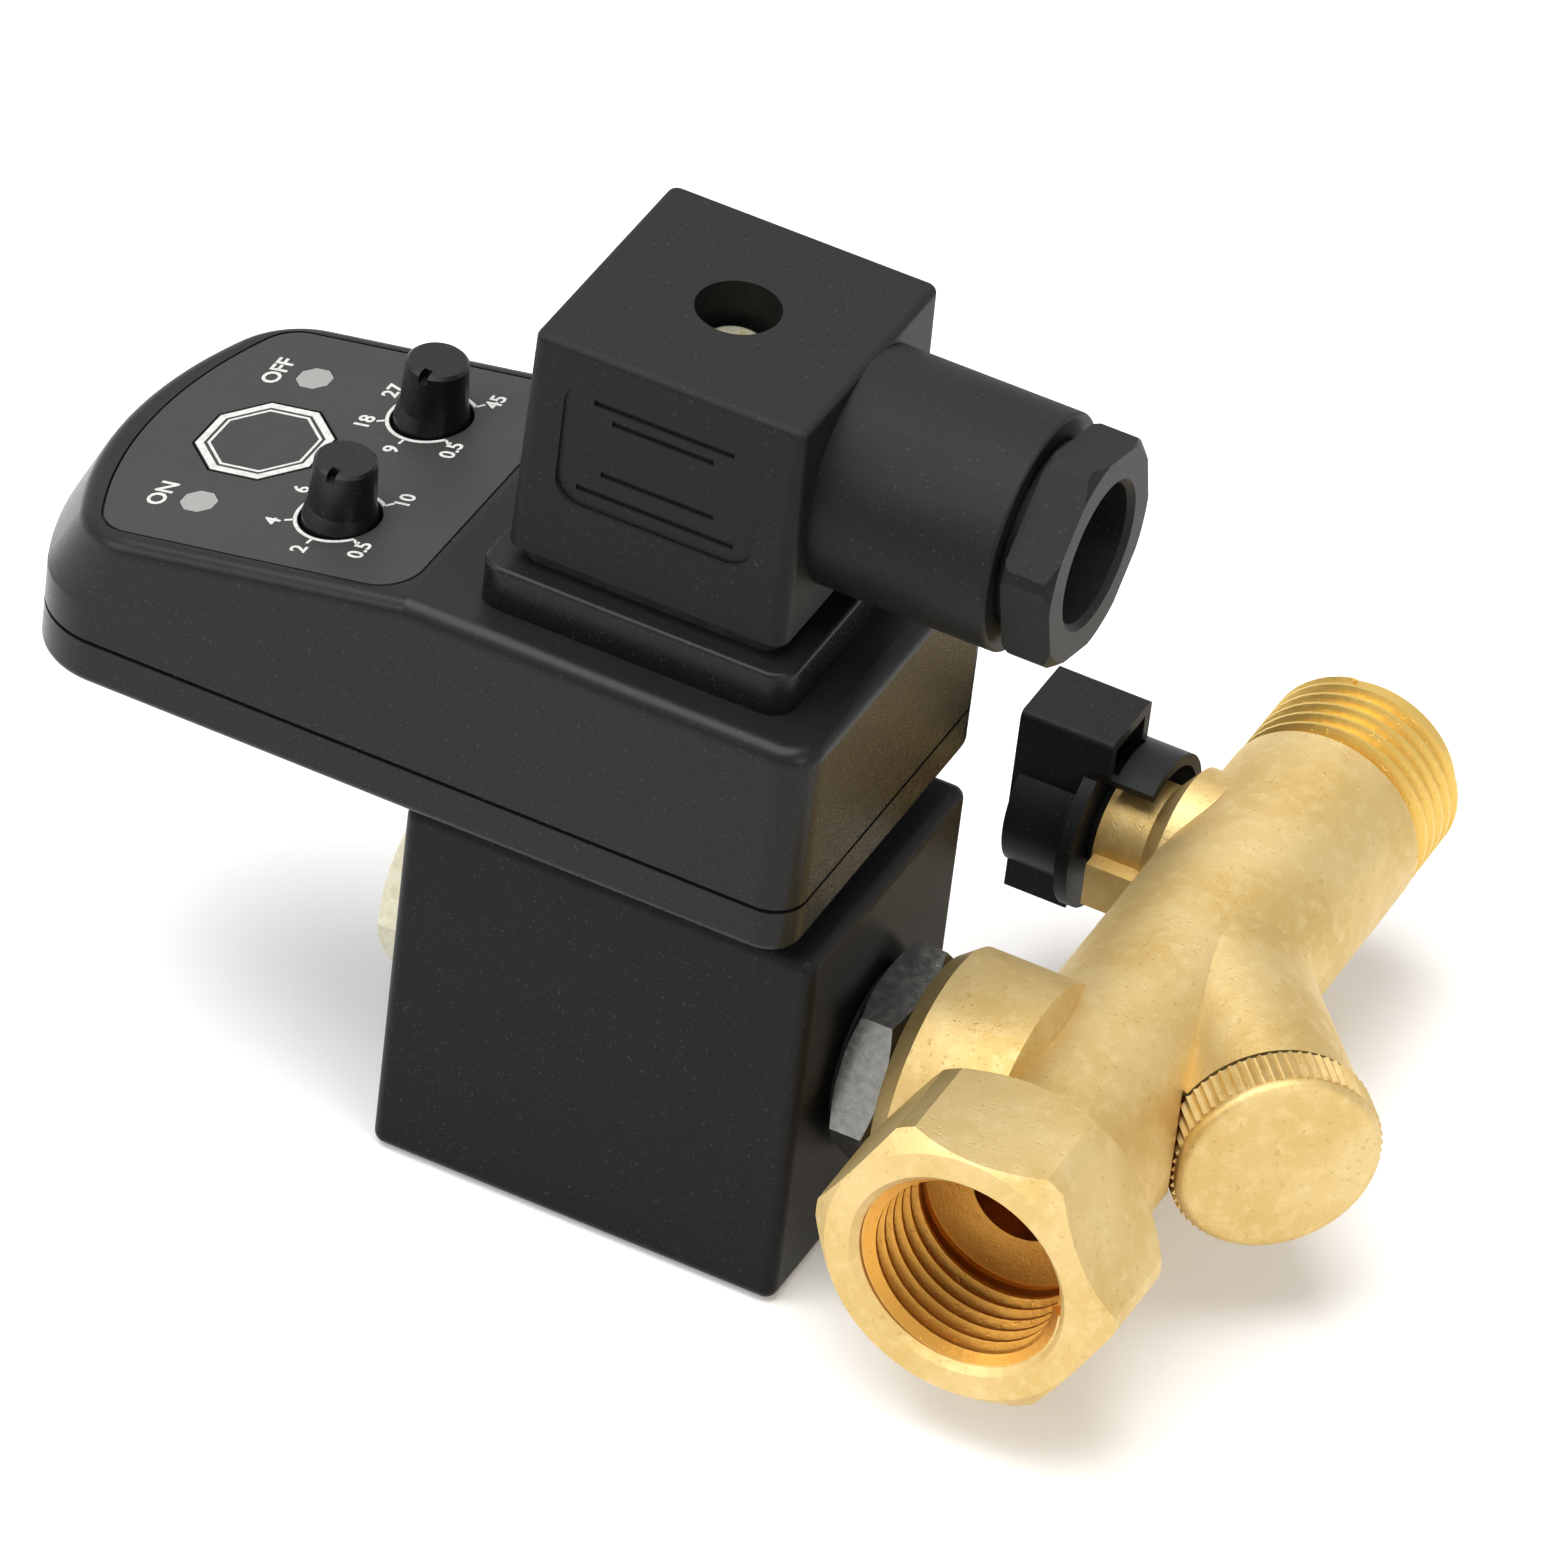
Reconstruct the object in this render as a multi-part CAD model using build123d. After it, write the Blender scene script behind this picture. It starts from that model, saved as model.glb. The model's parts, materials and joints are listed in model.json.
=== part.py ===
from build123d import *
import os
from math import atan, cos, degrees, radians, sin, sqrt

# Automatic drain valve: brass ball valve with strainer and solenoid, timer housing and cable plug.
# Millimetres. The origin is the centre of the outlet mouth, +Y runs along the pipe to the inlet,
# the solenoid lies along X and the timer stands on top of the coil, towards +Z.

# ---- pipe and its two ports -------------------------------------------------
PIPE_LENGTH = 92.5
PIPE_R = 10.6
HEX_FLATS = 28.0
HEX_LENGTH = 13.7
HEX_TURN = 0.0
HEX_REACH = 15.6
HEX_FACE_R = 13.8
HEX_FRONT_SLOPE = 1.0
HEX_BACK_SLOPE = 1.0
INLET_CORE_R = 9.35
INLET_THREAD_LENGTH = 12.0
INLET_EDGE = 0.3
OUTLET_THREAD_R = 10.48
OUTLET_THREAD_DEPTH = 12.0
OUTLET_MOUTH_R = 11.2
PILOT_R = 9.32
PILOT_DEPTH = 12.6
PILOT_CONE = 1.2
OUTLET_BORE_R = 5.0
OUTLET_BORE_DEPTH = 27.9

# ---- shut-off ball valve -----------------------------------------------------
STEM_FROM_INLET = 23.2
BALL_R = 7.4
BALL_PORT_R = 4.75
BALL_CLEARANCE = 0.05
BALL_CHAMBER_R = 7.9
SEAT_NEAR = 3.8
SEAT_FAR = 8.2
SEAT_BORE_R = 5.0
INLET_PASSAGE_R = 5.0
INLET_PASSAGE_OVERRUN = 1.55
RETAINER_LENGTH = 4.6
RETAINER_SLOT = 2.2
NECK_R = 5.8
NECK_BASE_R = 8.6
NECK_BASE_S = 9.5
NECK_CONE_S = 11.6
NECK_END_S = 16.6
STEM_R = 3.5
STEM_CLEARANCE = 0.05
STEM_FOOT_S = 5.4
STEM_TANG = 2.4
STEM_TANG_DEPTH = 1.9
STEM_SQUARE = 4.8
STEM_END_S = 19.4
STEM_SEAL_R = 0.55
STEM_SEAL_S = 11.2
LUG_NEAR = 5.1
LUG_FAR = 7.7
LUG_TOP = 0.4
LUG_DROP = 5.0
LUG_END_S = 16.3

# ---- lever ---------------------------------------------------------------------
SKIRT_R = 9.1
SKIRT_WALL = 1.2
SKIRT_START_S = 11.9
SKIRT_DISC_S = 17.6
SKIRT_END_S = 19.0
WINDOW_MARGIN = 3.0
WINDOW_NEAR = 60.0
LEVER_TURN = 90.0
HUB_R = 7.0
HUB_END_S = 25.7
HUB_CORE_R = 4.4
WING_WIDTH = 9.0
WING_WALL = 1.3
WING_START_S = 16.5
WING_END_S = 26.4
WING_TOP = 12.7
WING_FOOT = 8.6
LEVER_EDGE_R = 0.7
LEVER_SCREW_R = 1.4
LEVER_SCREW_HEAD_R = 2.6
LEVER_SCREW_HEAD = 1.7
LEVER_SCREW_LENGTH = 8.0

# ---- strainer leg ----------------------------------------------------------------
LEG_FROM_STEM = 16.25
LEG_ANGLE = 49.0
LEG_R = 10.0
LEG_END_S = 23.4
LEG_BORE_R = 7.6
LEG_SEAT_S = 3.5
LEG_SEAT_R = 5.2
SCREEN_R = 6.2
SCREEN_WALL = 0.6
SCREEN_HOLE_R = 1.0
SCREEN_ROWS = 3
SCREEN_COLUMNS = 6
SCREEN_FIRST_ROW = 3.0
SCREEN_LAST_ROW = 1.5
CAP_R = 10.15
CAP_RIM = 3.9
CAP_FACE = 1.0
CAP_SPIGOT_R = 8.5
CAP_SPIGOT_LENGTH = 7.0
CAP_SEAL = 0.6
CAP_EDGE_R = 1.0
CAP_CLEARANCE = 0.65
CAP_SEAL_INSET = 0.3

# ---- solenoid: distances from the pipe axis towards the coil ---------------------
SOLENOID_Y = 25.75
BOSS_R = 13.0
BOSS_FACE_R = 11.5
BOSS_ROOT_R = 10.0
BOSS_ROOT_S = 3.0
BOSS_BODY_S = 4.4
BOSS_CHAMFER_S = 14.2
BOSS_FACE_S = 16.1
CHAMBER_R = 6.9
CHAMBER_FLOOR_S = 8.3
TUBE_THREAD_R = 7.85
TUBE_THREAD_S = 11.6
NOZZLE_R = 3.4
NOZZLE_TIP_R = 2.8
NOZZLE_TIP_S = 10.3
ORIFICE_R = 2.0
FEED_R = 2.6
FEED_START = (-9.5, 30.5, 0.0)
FEED_END_X = 1.6
FEED_BEFORE_LEG = 8.85
TUBE_HEX_FLATS = 20.0
TUBE_HEX_TURN = -7.5
TUBE_HEX_S = 16.4
TUBE_HEX_LENGTH = 4.6
TUBE_R = 6.5
TUBE_BORE_R = 5.5
TUBE_SEAL_IN_R = 8.5
TUBE_SEAL_OUT_R = 10.1
TUBE_SEAL_DEPTH = 0.9
CORE_LENGTH = 17.4
CORE_HEAD = 1.4
STUD_R = 3.0
PLUNGER_R = 5.4
PLUNGER_NOSE_S = 11.0
PLUNGER_GAP = 1.8
PLUNGER_SEAL_R = 3.7
PLUNGER_SEAL_PROUD = 0.65
PLUNGER_SEAL_DEPTH = 1.8
SPRING_POCKET_R = 2.9
SPRING_POCKET_DEPTH = 8.0
SPRING_R = 2.35
SPRING_WIRE = 0.6
SPRING_TURNS = 5

# ---- coil -------------------------------------------------------------------------
COIL_START_S = 21.9
COIL_LENGTH = 43.5
COIL_WIDTH = 33.0
COIL_HEIGHT = 41.7
COIL_EDGE_R = 1.3
COIL_BORE_R = 6.58
BOBBIN_WALL = 1.4
BOBBIN_FLANGE_R = 14.0
BOBBIN_FLANGE = 1.5
BOBBIN_END_INSET = 4.4
WINDING_R = 13.2
YOKE_INSET = 1.9
YOKE_WALL = 2.4
YOKE_HALF_HEIGHT = 16.4
YOKE_WIDTH = 24.0
COIL_SEAT_SIZE = 29.0
COIL_SEAT_HEIGHT = 0.9
FRONT_WASHER_R = 8.4
REAR_WASHER_R = 11.5
REAR_WASHER = 1.0
COIL_NUT_FLATS = 17.5
COIL_NUT_LENGTH = 4.2
COIL_NUT_CHAMFER = 0.6
COIL_NUT_DOME = 1.0

# ---- DIN contacts (same pattern on coil and timer) ----------------------------------
BLADE_WIDTH = 6.3
BLADE_THICKNESS = 0.8
BLADE_MARGIN = 5.0
EARTH_OFFSET = 7.5
BLADE_SLOT_CLEARANCE = 0.35
CLIP_WALL = 0.6
CLIP_CLEARANCE = 0.05

# ---- timer housing ---------------------------------------------------------------------
TIMER_RIGHT_X = -23.35
TIMER_LENGTH = 85.15
TIMER_WIDTH = 41.3
TIMER_BOTTOM_Z = 23.75
TIMER_SEAM_Z = 29.05
TIMER_TOP_Z = 47.5
TIMER_BOW = 5.8
TIMER_LEFT_CORNER_R = 8.0
TIMER_RIGHT_CORNER_R = 3.6
TIMER_LEAN = 6.5
TIMER_LEAN_Z = 33.0
TIMER_EDGE_R = 1.7
TIMER_BASE_EDGE_R = 1.1
TIMER_WALL = 2.0
SEAM_INSET = 0.35
SEAM_HEIGHT = 0.45
PANEL_KINK_X = -66.0
PANEL_SLOPE = 0.195
PANEL_RIGHT_X = -66.9
PANEL_LEFT_X = -103.0
PANEL_BOW = 4.7
PANEL_WIDTH = 37.0
PANEL_CORNER_R = 4.0
PANEL_THICKNESS = 0.5
PANEL_GAP = 0.22
OPENING_DROP = 3.5
OPENING_RISE = 2.0
DIAL_OPENING_DROP = 8.0
BOARD_Z = 31.0
BOARD_THICKNESS = 1.6
BOARD_CLEARANCE = 0.6
POST_R = 2.6
SCREW_R = 1.2
SCREW_HEAD_R = 2.1
SCREW_HEAD = 1.4
SCREW_FROM_RIGHT = 6.5
SCREW_FROM_LEFT = 13.0
SCREW_FROM_SIDE = 5.5

# ---- controls on the panel -----------------------------------------------------------------
DIAL_X = -78.3
DIAL_SPACING = 18.4
DIAL_TOP_R = 3.05
DIAL_WAIST_R = 3.3
DIAL_FOOT_R = 3.7
DIAL_TOP_Z = 52.0
DIAL_FLARE_Z = 46.9
DIAL_FOOT_Z = 45.4
DIAL_BOTTOM_Z = 43.2
DIAL_HOLE_CLEARANCE = 0.3
DIAL_NOTCH_WIDTH = 0.9
DIAL_NOTCH_DEPTH = 1.0
DIAL_SHAFT_R = 2.0
POT_SIZE = 9.6
POT_HEIGHT = 5.2
POT_HUB_R = 3.2
POT_HUB_HEIGHT = 1.6
SHAFT_CLEARANCE = 0.06
BUTTON_X = -91.2
BUTTON_R = 6.75
BUTTON_GAP = 0.25
BUTTON_PLATE = 2.3
BUTTON_FLANGE_R = 8.3
BUTTON_FLANGE = 0.9
BUTTON_TRAVEL = 0.5
BUTTON_STEM_R = 1.6
SWITCH_SIZE = 6.2
SWITCH_HEIGHT = 1.6
SWITCH_PIN_R = 1.5
SWITCH_PIN = 0.9
LENS_X = -92.0
LENS_SPACING = 23.0
LENS_R = 1.85
LENS_LENGTH = 4.0
LENS_CLEARANCE = 0.08
LED_R = 1.5
LED_HEIGHT = 3.2

# ---- plug collar, gaskets and plug ---------------------------------------------------------
PLUG_X = -44.5
COLLAR_SIZE = 32.6
COLLAR_TOP_Z = 52.2
COLLAR_CORNER_R = 2.6
COLLAR_WALL = 2.2
GASKET_SIZE = 26.8
GASKET_CORNER_R = 2.0
PLUG_TOP_Z = 78.35
PLUG_BOTTOM_Z = 54.0
PLUG_TOP_SIZE = 28.0
PLUG_BOTTOM_SIZE = 29.0
PLUG_CORNER_R = 1.6
PLUG_EDGE_R = 0.8
PLUG_WALL = 1.8
PLUG_ROOF = 2.6
PLUG_POST_R = 5.6
PLUG_HOLE_R = 4.13
PLUG_HOLE_DEPTH = 6.4
INSERT_CLEARANCE = 0.1
INSERT_HEIGHT = 10.0
CONTACT_HEIGHT = 7.0
CONTACT_WALL = 1.5
CLAMP_SCREW_R = 1.3
CLAMP_SCREW_HEAD = 1.2
CENTRE_SCREW_R = 1.5
CENTRE_SCREW_HEAD_R = 3.1
CENTRE_SCREW_HEAD = 2.2
CENTRE_SCREW_CLEARANCE = 0.35
CENTRE_SCREW_END_Z = 17.4
CENTRE_SCREW_SLOT = 0.8
NUT_INSERT_R = 2.7
NUT_INSERT_Z = 16.8
FRAME_WIDTH = 20.4
FRAME_HEIGHT = 14.0
FRAME_CENTRE_Z = 67.9
FRAME_CORNER_R = 2.8
FRAME_DEPTH = 0.35
GROOVES = ((5.1, 14.5), (3.5, 10.5), (-2.6, 11.7), (-5.0, 16.3))  # height above the frame's centre, length
GROOVE_WIDTH = 0.7

# ---- cable gland: distances from the plug's centre towards +X ------------------------------------
GLAND_Z = 66.3
GLAND_R = 11.8
GLAND_BORE_R = 9.3
GLAND_END_S = 32.65
GLAND_NUT_GAP = 0.95
GLAND_NUT_FLATS = 20.3
GLAND_NUT_CORNER_R = 11.4
GLAND_NUT_TURN = -14.0
GLAND_NUT_LENGTH = 5.0
GLAND_NUT_BORE_R = 6.94
GLAND_SPIGOT_R = 9.2
GLAND_SPIGOT_LENGTH = 6.5
GLAND_WASHER = 0.8
GLAND_WASHER_BORE_R = 7.4
GROMMET_LENGTH = 6.0
GROMMET_HOLE_R = 3.4

# ---- values worked out from the sizes above --------------------------------------------------------
HALF_SPAN = 0.5
SHOULDER_Y = PIPE_LENGTH - INLET_THREAD_LENGTH
STEM_Y = PIPE_LENGTH - STEM_FROM_INLET
LEG_Y = STEM_Y - LEG_FROM_STEM
INLET_PASSAGE_END_Y = LEG_Y - INLET_PASSAGE_OVERRUN
FEED_END = (FEED_END_X, LEG_Y - FEED_BEFORE_LEG, 0.0)
COIL_END_S = COIL_START_S + COIL_LENGTH
COIL_X = -(COIL_START_S + COIL_LENGTH / 2)
COIL_TOP_Z = COIL_HEIGHT / 2
COIL_SEAT_Z = COIL_TOP_Z + COIL_SEAT_HEIGHT
CORE_FACE_S = COIL_END_S - CORE_LENGTH
CORE_HEAD_S = COIL_END_S - CORE_HEAD
TUBE_HEX_END_S = TUBE_HEX_S + TUBE_HEX_LENGTH
TIMER_LEFT_X = TIMER_RIGHT_X - TIMER_LENGTH
BOARD_TOP_Z = BOARD_Z + BOARD_THICKNESS
PANEL_TILT = degrees(atan(PANEL_SLOPE))
GLAND_NUT_S = GLAND_END_S + GLAND_NUT_GAP
BLADE_SPACING = PLUG_TOP_SIZE - 2 * BLADE_MARGIN
CAP_START_S = LEG_END_S + CAP_SEAL
MIN_Z = (Align.CENTER, Align.CENTER, Align.MIN)

PIPE = Plane(origin=(0, 0, 0), x_dir=(1, 0, 0), z_dir=(0, 1, 0))
SOLENOID = Plane(origin=(0, SOLENOID_Y, 0), x_dir=(0, 1, 0), z_dir=(-1, 0, 0))
STEM = Plane(origin=(0, STEM_Y, 0), x_dir=(0, 1, 0), z_dir=(-1, 0, 0))
LEG_DIRECTION = (cos(radians(LEG_ANGLE)), -sin(radians(LEG_ANGLE)), 0)
LEG = Plane(origin=(0, LEG_Y, 0), x_dir=(0, 0, 1), z_dir=LEG_DIRECTION)
GLAND = Plane(origin=(PLUG_X, SOLENOID_Y, GLAND_Z), x_dir=(0, 1, 0), z_dir=(1, 0, 0))
PANEL = Plane(
    origin=(PANEL_KINK_X, SOLENOID_Y, TIMER_TOP_Z),
    x_dir=(cos(radians(PANEL_TILT)), 0, sin(radians(PANEL_TILT))),
    z_dir=(-sin(radians(PANEL_TILT)), 0, cos(radians(PANEL_TILT))),
)


# ---- shared shapes -------------------------------------------------------------------------------
def disc(plane, radius, start, end):
    """Cylinder along a plane's axis, between two distances on it."""
    return plane * Pos(0, 0, start) * Cylinder(radius, end - start, align=MIN_Z)


def ring(plane, outer, inner, start, end):
    """Flat ring or tube along a plane's axis."""
    return disc(plane, outer, start, end) - disc(plane, inner, start, end)


def turned(plane, profile):
    """Solid of revolution from (distance, radius) points, closed along the axis."""
    points = [(0, profile[0][0])] + [(r, s) for s, r in profile] + [(0, profile[-1][0])]
    face = make_face(Plane.XZ * Polyline(*points, close=True))
    return plane * revolve(face, Axis.Z)


def prism(plane, flats, sides, start, end, turn=0.0):
    """Prism with regular section, given across its flats."""
    section = RegularPolygon(flats / 2, sides, major_radius=False, rotation=turn)
    return plane * Pos(0, 0, start) * extrude(section, end - start)


def block(size_x, size_y, x, y, z_low, z_high, corner=0.0):
    """Upright block with rounded upright corners, centred on x and y."""
    section = RectangleRounded(size_x, size_y, corner) if corner else Rectangle(size_x, size_y)
    return Pos(x, y, z_low) * extrude(section, z_high - z_low)


def upright(radius, x, y, z_low, z_high):
    """Upright cylinder."""
    return Pos(x, y, z_low) * Cylinder(radius, z_high - z_low, align=MIN_Z)


def panel_z(x):
    """Height of the sloping panel surface at x."""
    return TIMER_TOP_Z - PANEL_SLOPE * (PANEL_KINK_X - x)


def save(name, shape):
    """Write one node."""
    solids = shape.solids()
    part = solids[0] if len(solids) == 1 else Compound(solids)
    export_step(part, f"parts/{name}.step")


# ---- brass body ------------------------------------------------------------------------------------
def outlet_hexagon():
    hexagon = prism(PIPE, HEX_FLATS, 6, 0, HEX_LENGTH, HEX_TURN)
    chamfer = HEX_REACH - HEX_FACE_R
    envelope = turned(PIPE, [
        (0, HEX_FACE_R), (chamfer * HEX_FRONT_SLOPE, HEX_REACH),
        (HEX_LENGTH - chamfer * HEX_BACK_SLOPE, HEX_REACH), (HEX_LENGTH, HEX_FACE_R),
    ])
    return hexagon & envelope


def inlet_end():
    """Core of the inlet's thread, at the radius of its roots."""
    return turned(PIPE, [
        (SHOULDER_Y - 1, INLET_CORE_R), (PIPE_LENGTH - INLET_EDGE, INLET_CORE_R),
        (PIPE_LENGTH, INLET_CORE_R - INLET_EDGE),
    ])


def solenoid_boss():
    return turned(SOLENOID, [
        (BOSS_ROOT_S, BOSS_ROOT_R), (BOSS_BODY_S, BOSS_R),
        (BOSS_CHAMFER_S, BOSS_R), (BOSS_FACE_S, BOSS_FACE_R),
    ])


def lever_neck():
    neck = turned(STEM, [
        (0, NECK_BASE_R), (NECK_BASE_S, NECK_BASE_R), (NECK_CONE_S, NECK_R), (NECK_END_S, NECK_R),
    ])
    lug_width = LUG_FAR - LUG_NEAR
    lug_start = PIPE_R - 3
    lug = Pos(
        -(LUG_END_S + lug_start) / 2,
        STEM_Y - (LUG_NEAR + LUG_FAR) / 2,
        LUG_TOP - LUG_DROP / 2,
    ) * Box(LUG_END_S - lug_start, lug_width, LUG_DROP)
    return neck + lug


def outlet_passages():
    tap = turned(PIPE, [
        (-1, OUTLET_MOUTH_R + 1), (OUTLET_MOUTH_R - OUTLET_THREAD_R, OUTLET_THREAD_R),
        (OUTLET_THREAD_DEPTH, OUTLET_THREAD_R), (OUTLET_THREAD_DEPTH, PILOT_R), (PILOT_DEPTH, PILOT_R),
        (PILOT_DEPTH + PILOT_CONE, OUTLET_BORE_R), (OUTLET_BORE_DEPTH, OUTLET_BORE_R),
    ])
    nozzle = turned(SOLENOID, [
        (CHAMBER_FLOOR_S - 1, NOZZLE_R), (CHAMBER_FLOOR_S, NOZZLE_R), (NOZZLE_TIP_S, NOZZLE_TIP_R),
    ])
    chamber = disc(SOLENOID, CHAMBER_R, CHAMBER_FLOOR_S, BOSS_FACE_S) - nozzle
    thread = disc(SOLENOID, TUBE_THREAD_R, TUBE_THREAD_S, BOSS_FACE_S + 1)
    seal_groove = ring(SOLENOID, TUBE_SEAL_OUT_R, TUBE_SEAL_IN_R,
                       BOSS_FACE_S - TUBE_SEAL_DEPTH, BOSS_FACE_S + 1)
    orifice = disc(SOLENOID, ORIFICE_R, 0, NOZZLE_TIP_S + 1)
    return tap + chamber + thread + seal_groove + orifice


def feed_passage():
    start, end = Vector(*FEED_START), Vector(*FEED_END)
    run = end - start
    return disc(Plane(origin=start, z_dir=run), FEED_R, 0, run.length)


def inlet_passages():
    shoulder = STEM_Y - SEAT_FAR
    chamber = disc(PIPE, BALL_CHAMBER_R, shoulder, PIPE_LENGTH + 1)
    passage = disc(PIPE, INLET_PASSAGE_R, INLET_PASSAGE_END_Y, shoulder + 1)
    stem_bore = disc(STEM, STEM_R + STEM_CLEARANCE, 0, NECK_END_S + 1)
    leg_bore = disc(LEG, LEG_BORE_R, LEG_SEAT_S, LEG_END_S + 1)
    leg_thread = disc(LEG, CAP_SPIGOT_R, CAP_START_S - CAP_SPIGOT_LENGTH - 1, LEG_END_S + 1)
    leg_seat = disc(LEG, LEG_SEAT_R, 0, LEG_SEAT_S + 1)
    # the cutter that faces the leg also relieves the pipe beside the cap
    relief = disc(LEG, CAP_R + CAP_CLEARANCE, LEG_END_S, CAP_START_S + CAP_RIM + CAP_FACE + 1)
    return chamber + passage + stem_bore + leg_bore + leg_thread + leg_seat + relief


def valve_body():
    pipe = disc(PIPE, PIPE_R, HEX_LENGTH - 3, SHOULDER_Y)
    leg = disc(LEG, LEG_R, 0, LEG_END_S)
    body = pipe + outlet_hexagon() + inlet_end() + solenoid_boss() + leg + lever_neck()
    return body - outlet_passages() - inlet_passages() - feed_passage()


# ---- shut-off ball valve ----------------------------------------------------------------------------
def valve_ball():
    centre = Pos(0, STEM_Y, 0)
    tang_floor = STEM_FOOT_S
    slot = Pos(-(tang_floor + BALL_R) / 2, STEM_Y, 0) * Box(
        BALL_R - tang_floor, STEM_TANG + 2 * BALL_CLEARANCE, 2 * BALL_R)
    return centre * Sphere(BALL_R) - centre * Cylinder(BALL_PORT_R, 3 * BALL_R) - slot


def ball_seats():
    ball_space = Pos(0, STEM_Y, 0) * Sphere(BALL_R + BALL_CLEARANCE)
    seats = []
    for start, end in ((-SEAT_FAR, -SEAT_NEAR), (SEAT_NEAR, SEAT_FAR)):
        seat = ring(PIPE, BALL_CHAMBER_R, SEAT_BORE_R, STEM_Y + start, STEM_Y + end)
        seats.append((seat - ball_space).solids()[0])
    return Compound(seats)


def ball_retainer():
    start = STEM_Y + SEAT_FAR
    end = start + RETAINER_LENGTH
    slot = Pos(0, end, 0) * Box(3 * BALL_CHAMBER_R, 2 * RETAINER_SLOT, RETAINER_SLOT)
    return ring(PIPE, BALL_CHAMBER_R, SEAT_BORE_R, start, end) - slot


def valve_stem():
    stem = disc(STEM, STEM_R, STEM_FOOT_S + STEM_TANG_DEPTH, NECK_END_S)
    tang = disc(STEM, STEM_R, STEM_FOOT_S, STEM_FOOT_S + STEM_TANG_DEPTH) & Pos(0, STEM_Y, 0) * Box(
        2 * STEM_END_S, STEM_TANG, 2 * STEM_R)
    square = STEM * Pos(0, 0, NECK_END_S) * Box(
        STEM_SQUARE, STEM_SQUARE, STEM_END_S - NECK_END_S, align=MIN_Z)
    groove = ring(STEM, STEM_R + 1, STEM_R - 2 * STEM_SEAL_R,
                  STEM_SEAL_S - STEM_SEAL_R, STEM_SEAL_S + STEM_SEAL_R)
    thread = disc(STEM, LEVER_SCREW_R, STEM_END_S - LEVER_SCREW_LENGTH + 3, STEM_END_S)
    return stem + tang + square - groove - thread


def stem_seal():
    return ring(STEM, STEM_R, STEM_R - 2 * STEM_SEAL_R, STEM_SEAL_S - STEM_SEAL_R, STEM_SEAL_S + STEM_SEAL_R)


def skirt_window():
    """Sector of the lever's skirt that is left open for the stop lug over the lever's turn."""
    half_turn = 180
    low = degrees(atan(LUG_TOP / LUG_NEAR))
    high = degrees(atan((LUG_DROP - LUG_TOP) / LUG_NEAR))
    start = half_turn - low - WINDOW_NEAR
    end = half_turn + high + LEVER_TURN + WINDOW_MARGIN
    sector = Cylinder(SKIRT_R + 1, SKIRT_DISC_S - SKIRT_START_S + 1, arc_size=end - start,
                      align=(Align.NONE, Align.NONE, Align.MIN))
    # the stem plane's own y axis points down, so angles run the other way round on it
    return STEM * Pos(0, 0, SKIRT_START_S - 1) * Rot(0, 0, -end) * sector


def valve_lever():
    shell = disc(STEM, SKIRT_R, SKIRT_START_S, SKIRT_END_S) + disc(STEM, HUB_R, SKIRT_END_S, HUB_END_S)
    wing_length = WING_END_S - WING_START_S
    wing = Pos(-(WING_START_S + WING_END_S) / 2, STEM_Y, WING_TOP / 2) * Box(
        wing_length, WING_WIDTH, WING_TOP)
    foot = Pos(-(SKIRT_END_S + HUB_END_S) / 2, STEM_Y, -WING_FOOT / 2) * Box(
        HUB_END_S - SKIRT_END_S, WING_WIDTH, WING_FOOT)
    wing = fillet(wing.edges().filter_by(Axis.X).group_by(Axis.Z)[-1], LEVER_EDGE_R)
    inner_r = SKIRT_R - SKIRT_WALL
    hollow = disc(STEM, inner_r, SKIRT_START_S - 1, SKIRT_DISC_S)
    pocket_low = HUB_CORE_R + 1
    pocket = Pos(
        -(WING_START_S + WING_END_S - WING_WALL) / 2, STEM_Y, (pocket_low + WING_TOP - WING_WALL) / 2,
    ) * Box(wing_length - WING_WALL + 1, WING_WIDTH - 2 * WING_WALL, WING_TOP - WING_WALL - pocket_low)
    core = disc(STEM, HUB_CORE_R, NECK_END_S + 0.4, SKIRT_DISC_S)
    lever = shell + wing + foot - hollow - skirt_window() - pocket + core
    socket = STEM * Pos(0, 0, NECK_END_S) * Box(
        STEM_SQUARE, STEM_SQUARE, STEM_END_S - NECK_END_S, align=MIN_Z)
    screw_hole = disc(STEM, LEVER_SCREW_R, STEM_END_S, HUB_END_S)
    head_seat = disc(STEM, LEVER_SCREW_HEAD_R, HUB_END_S - LEVER_SCREW_HEAD, HUB_END_S + 1)
    return lever - socket - screw_hole - head_seat


def lever_screw():
    end = HUB_END_S - 0.2
    head = disc(STEM, LEVER_SCREW_HEAD_R, HUB_END_S - LEVER_SCREW_HEAD, end)
    shank = disc(STEM, LEVER_SCREW_R, STEM_END_S - LEVER_SCREW_LENGTH + 3, HUB_END_S - LEVER_SCREW_HEAD)
    slot = STEM * Pos(0, 0, end) * Box(2 * LEVER_SCREW_HEAD_R, 0.7, 1.2)
    return head + shank - slot


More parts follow.
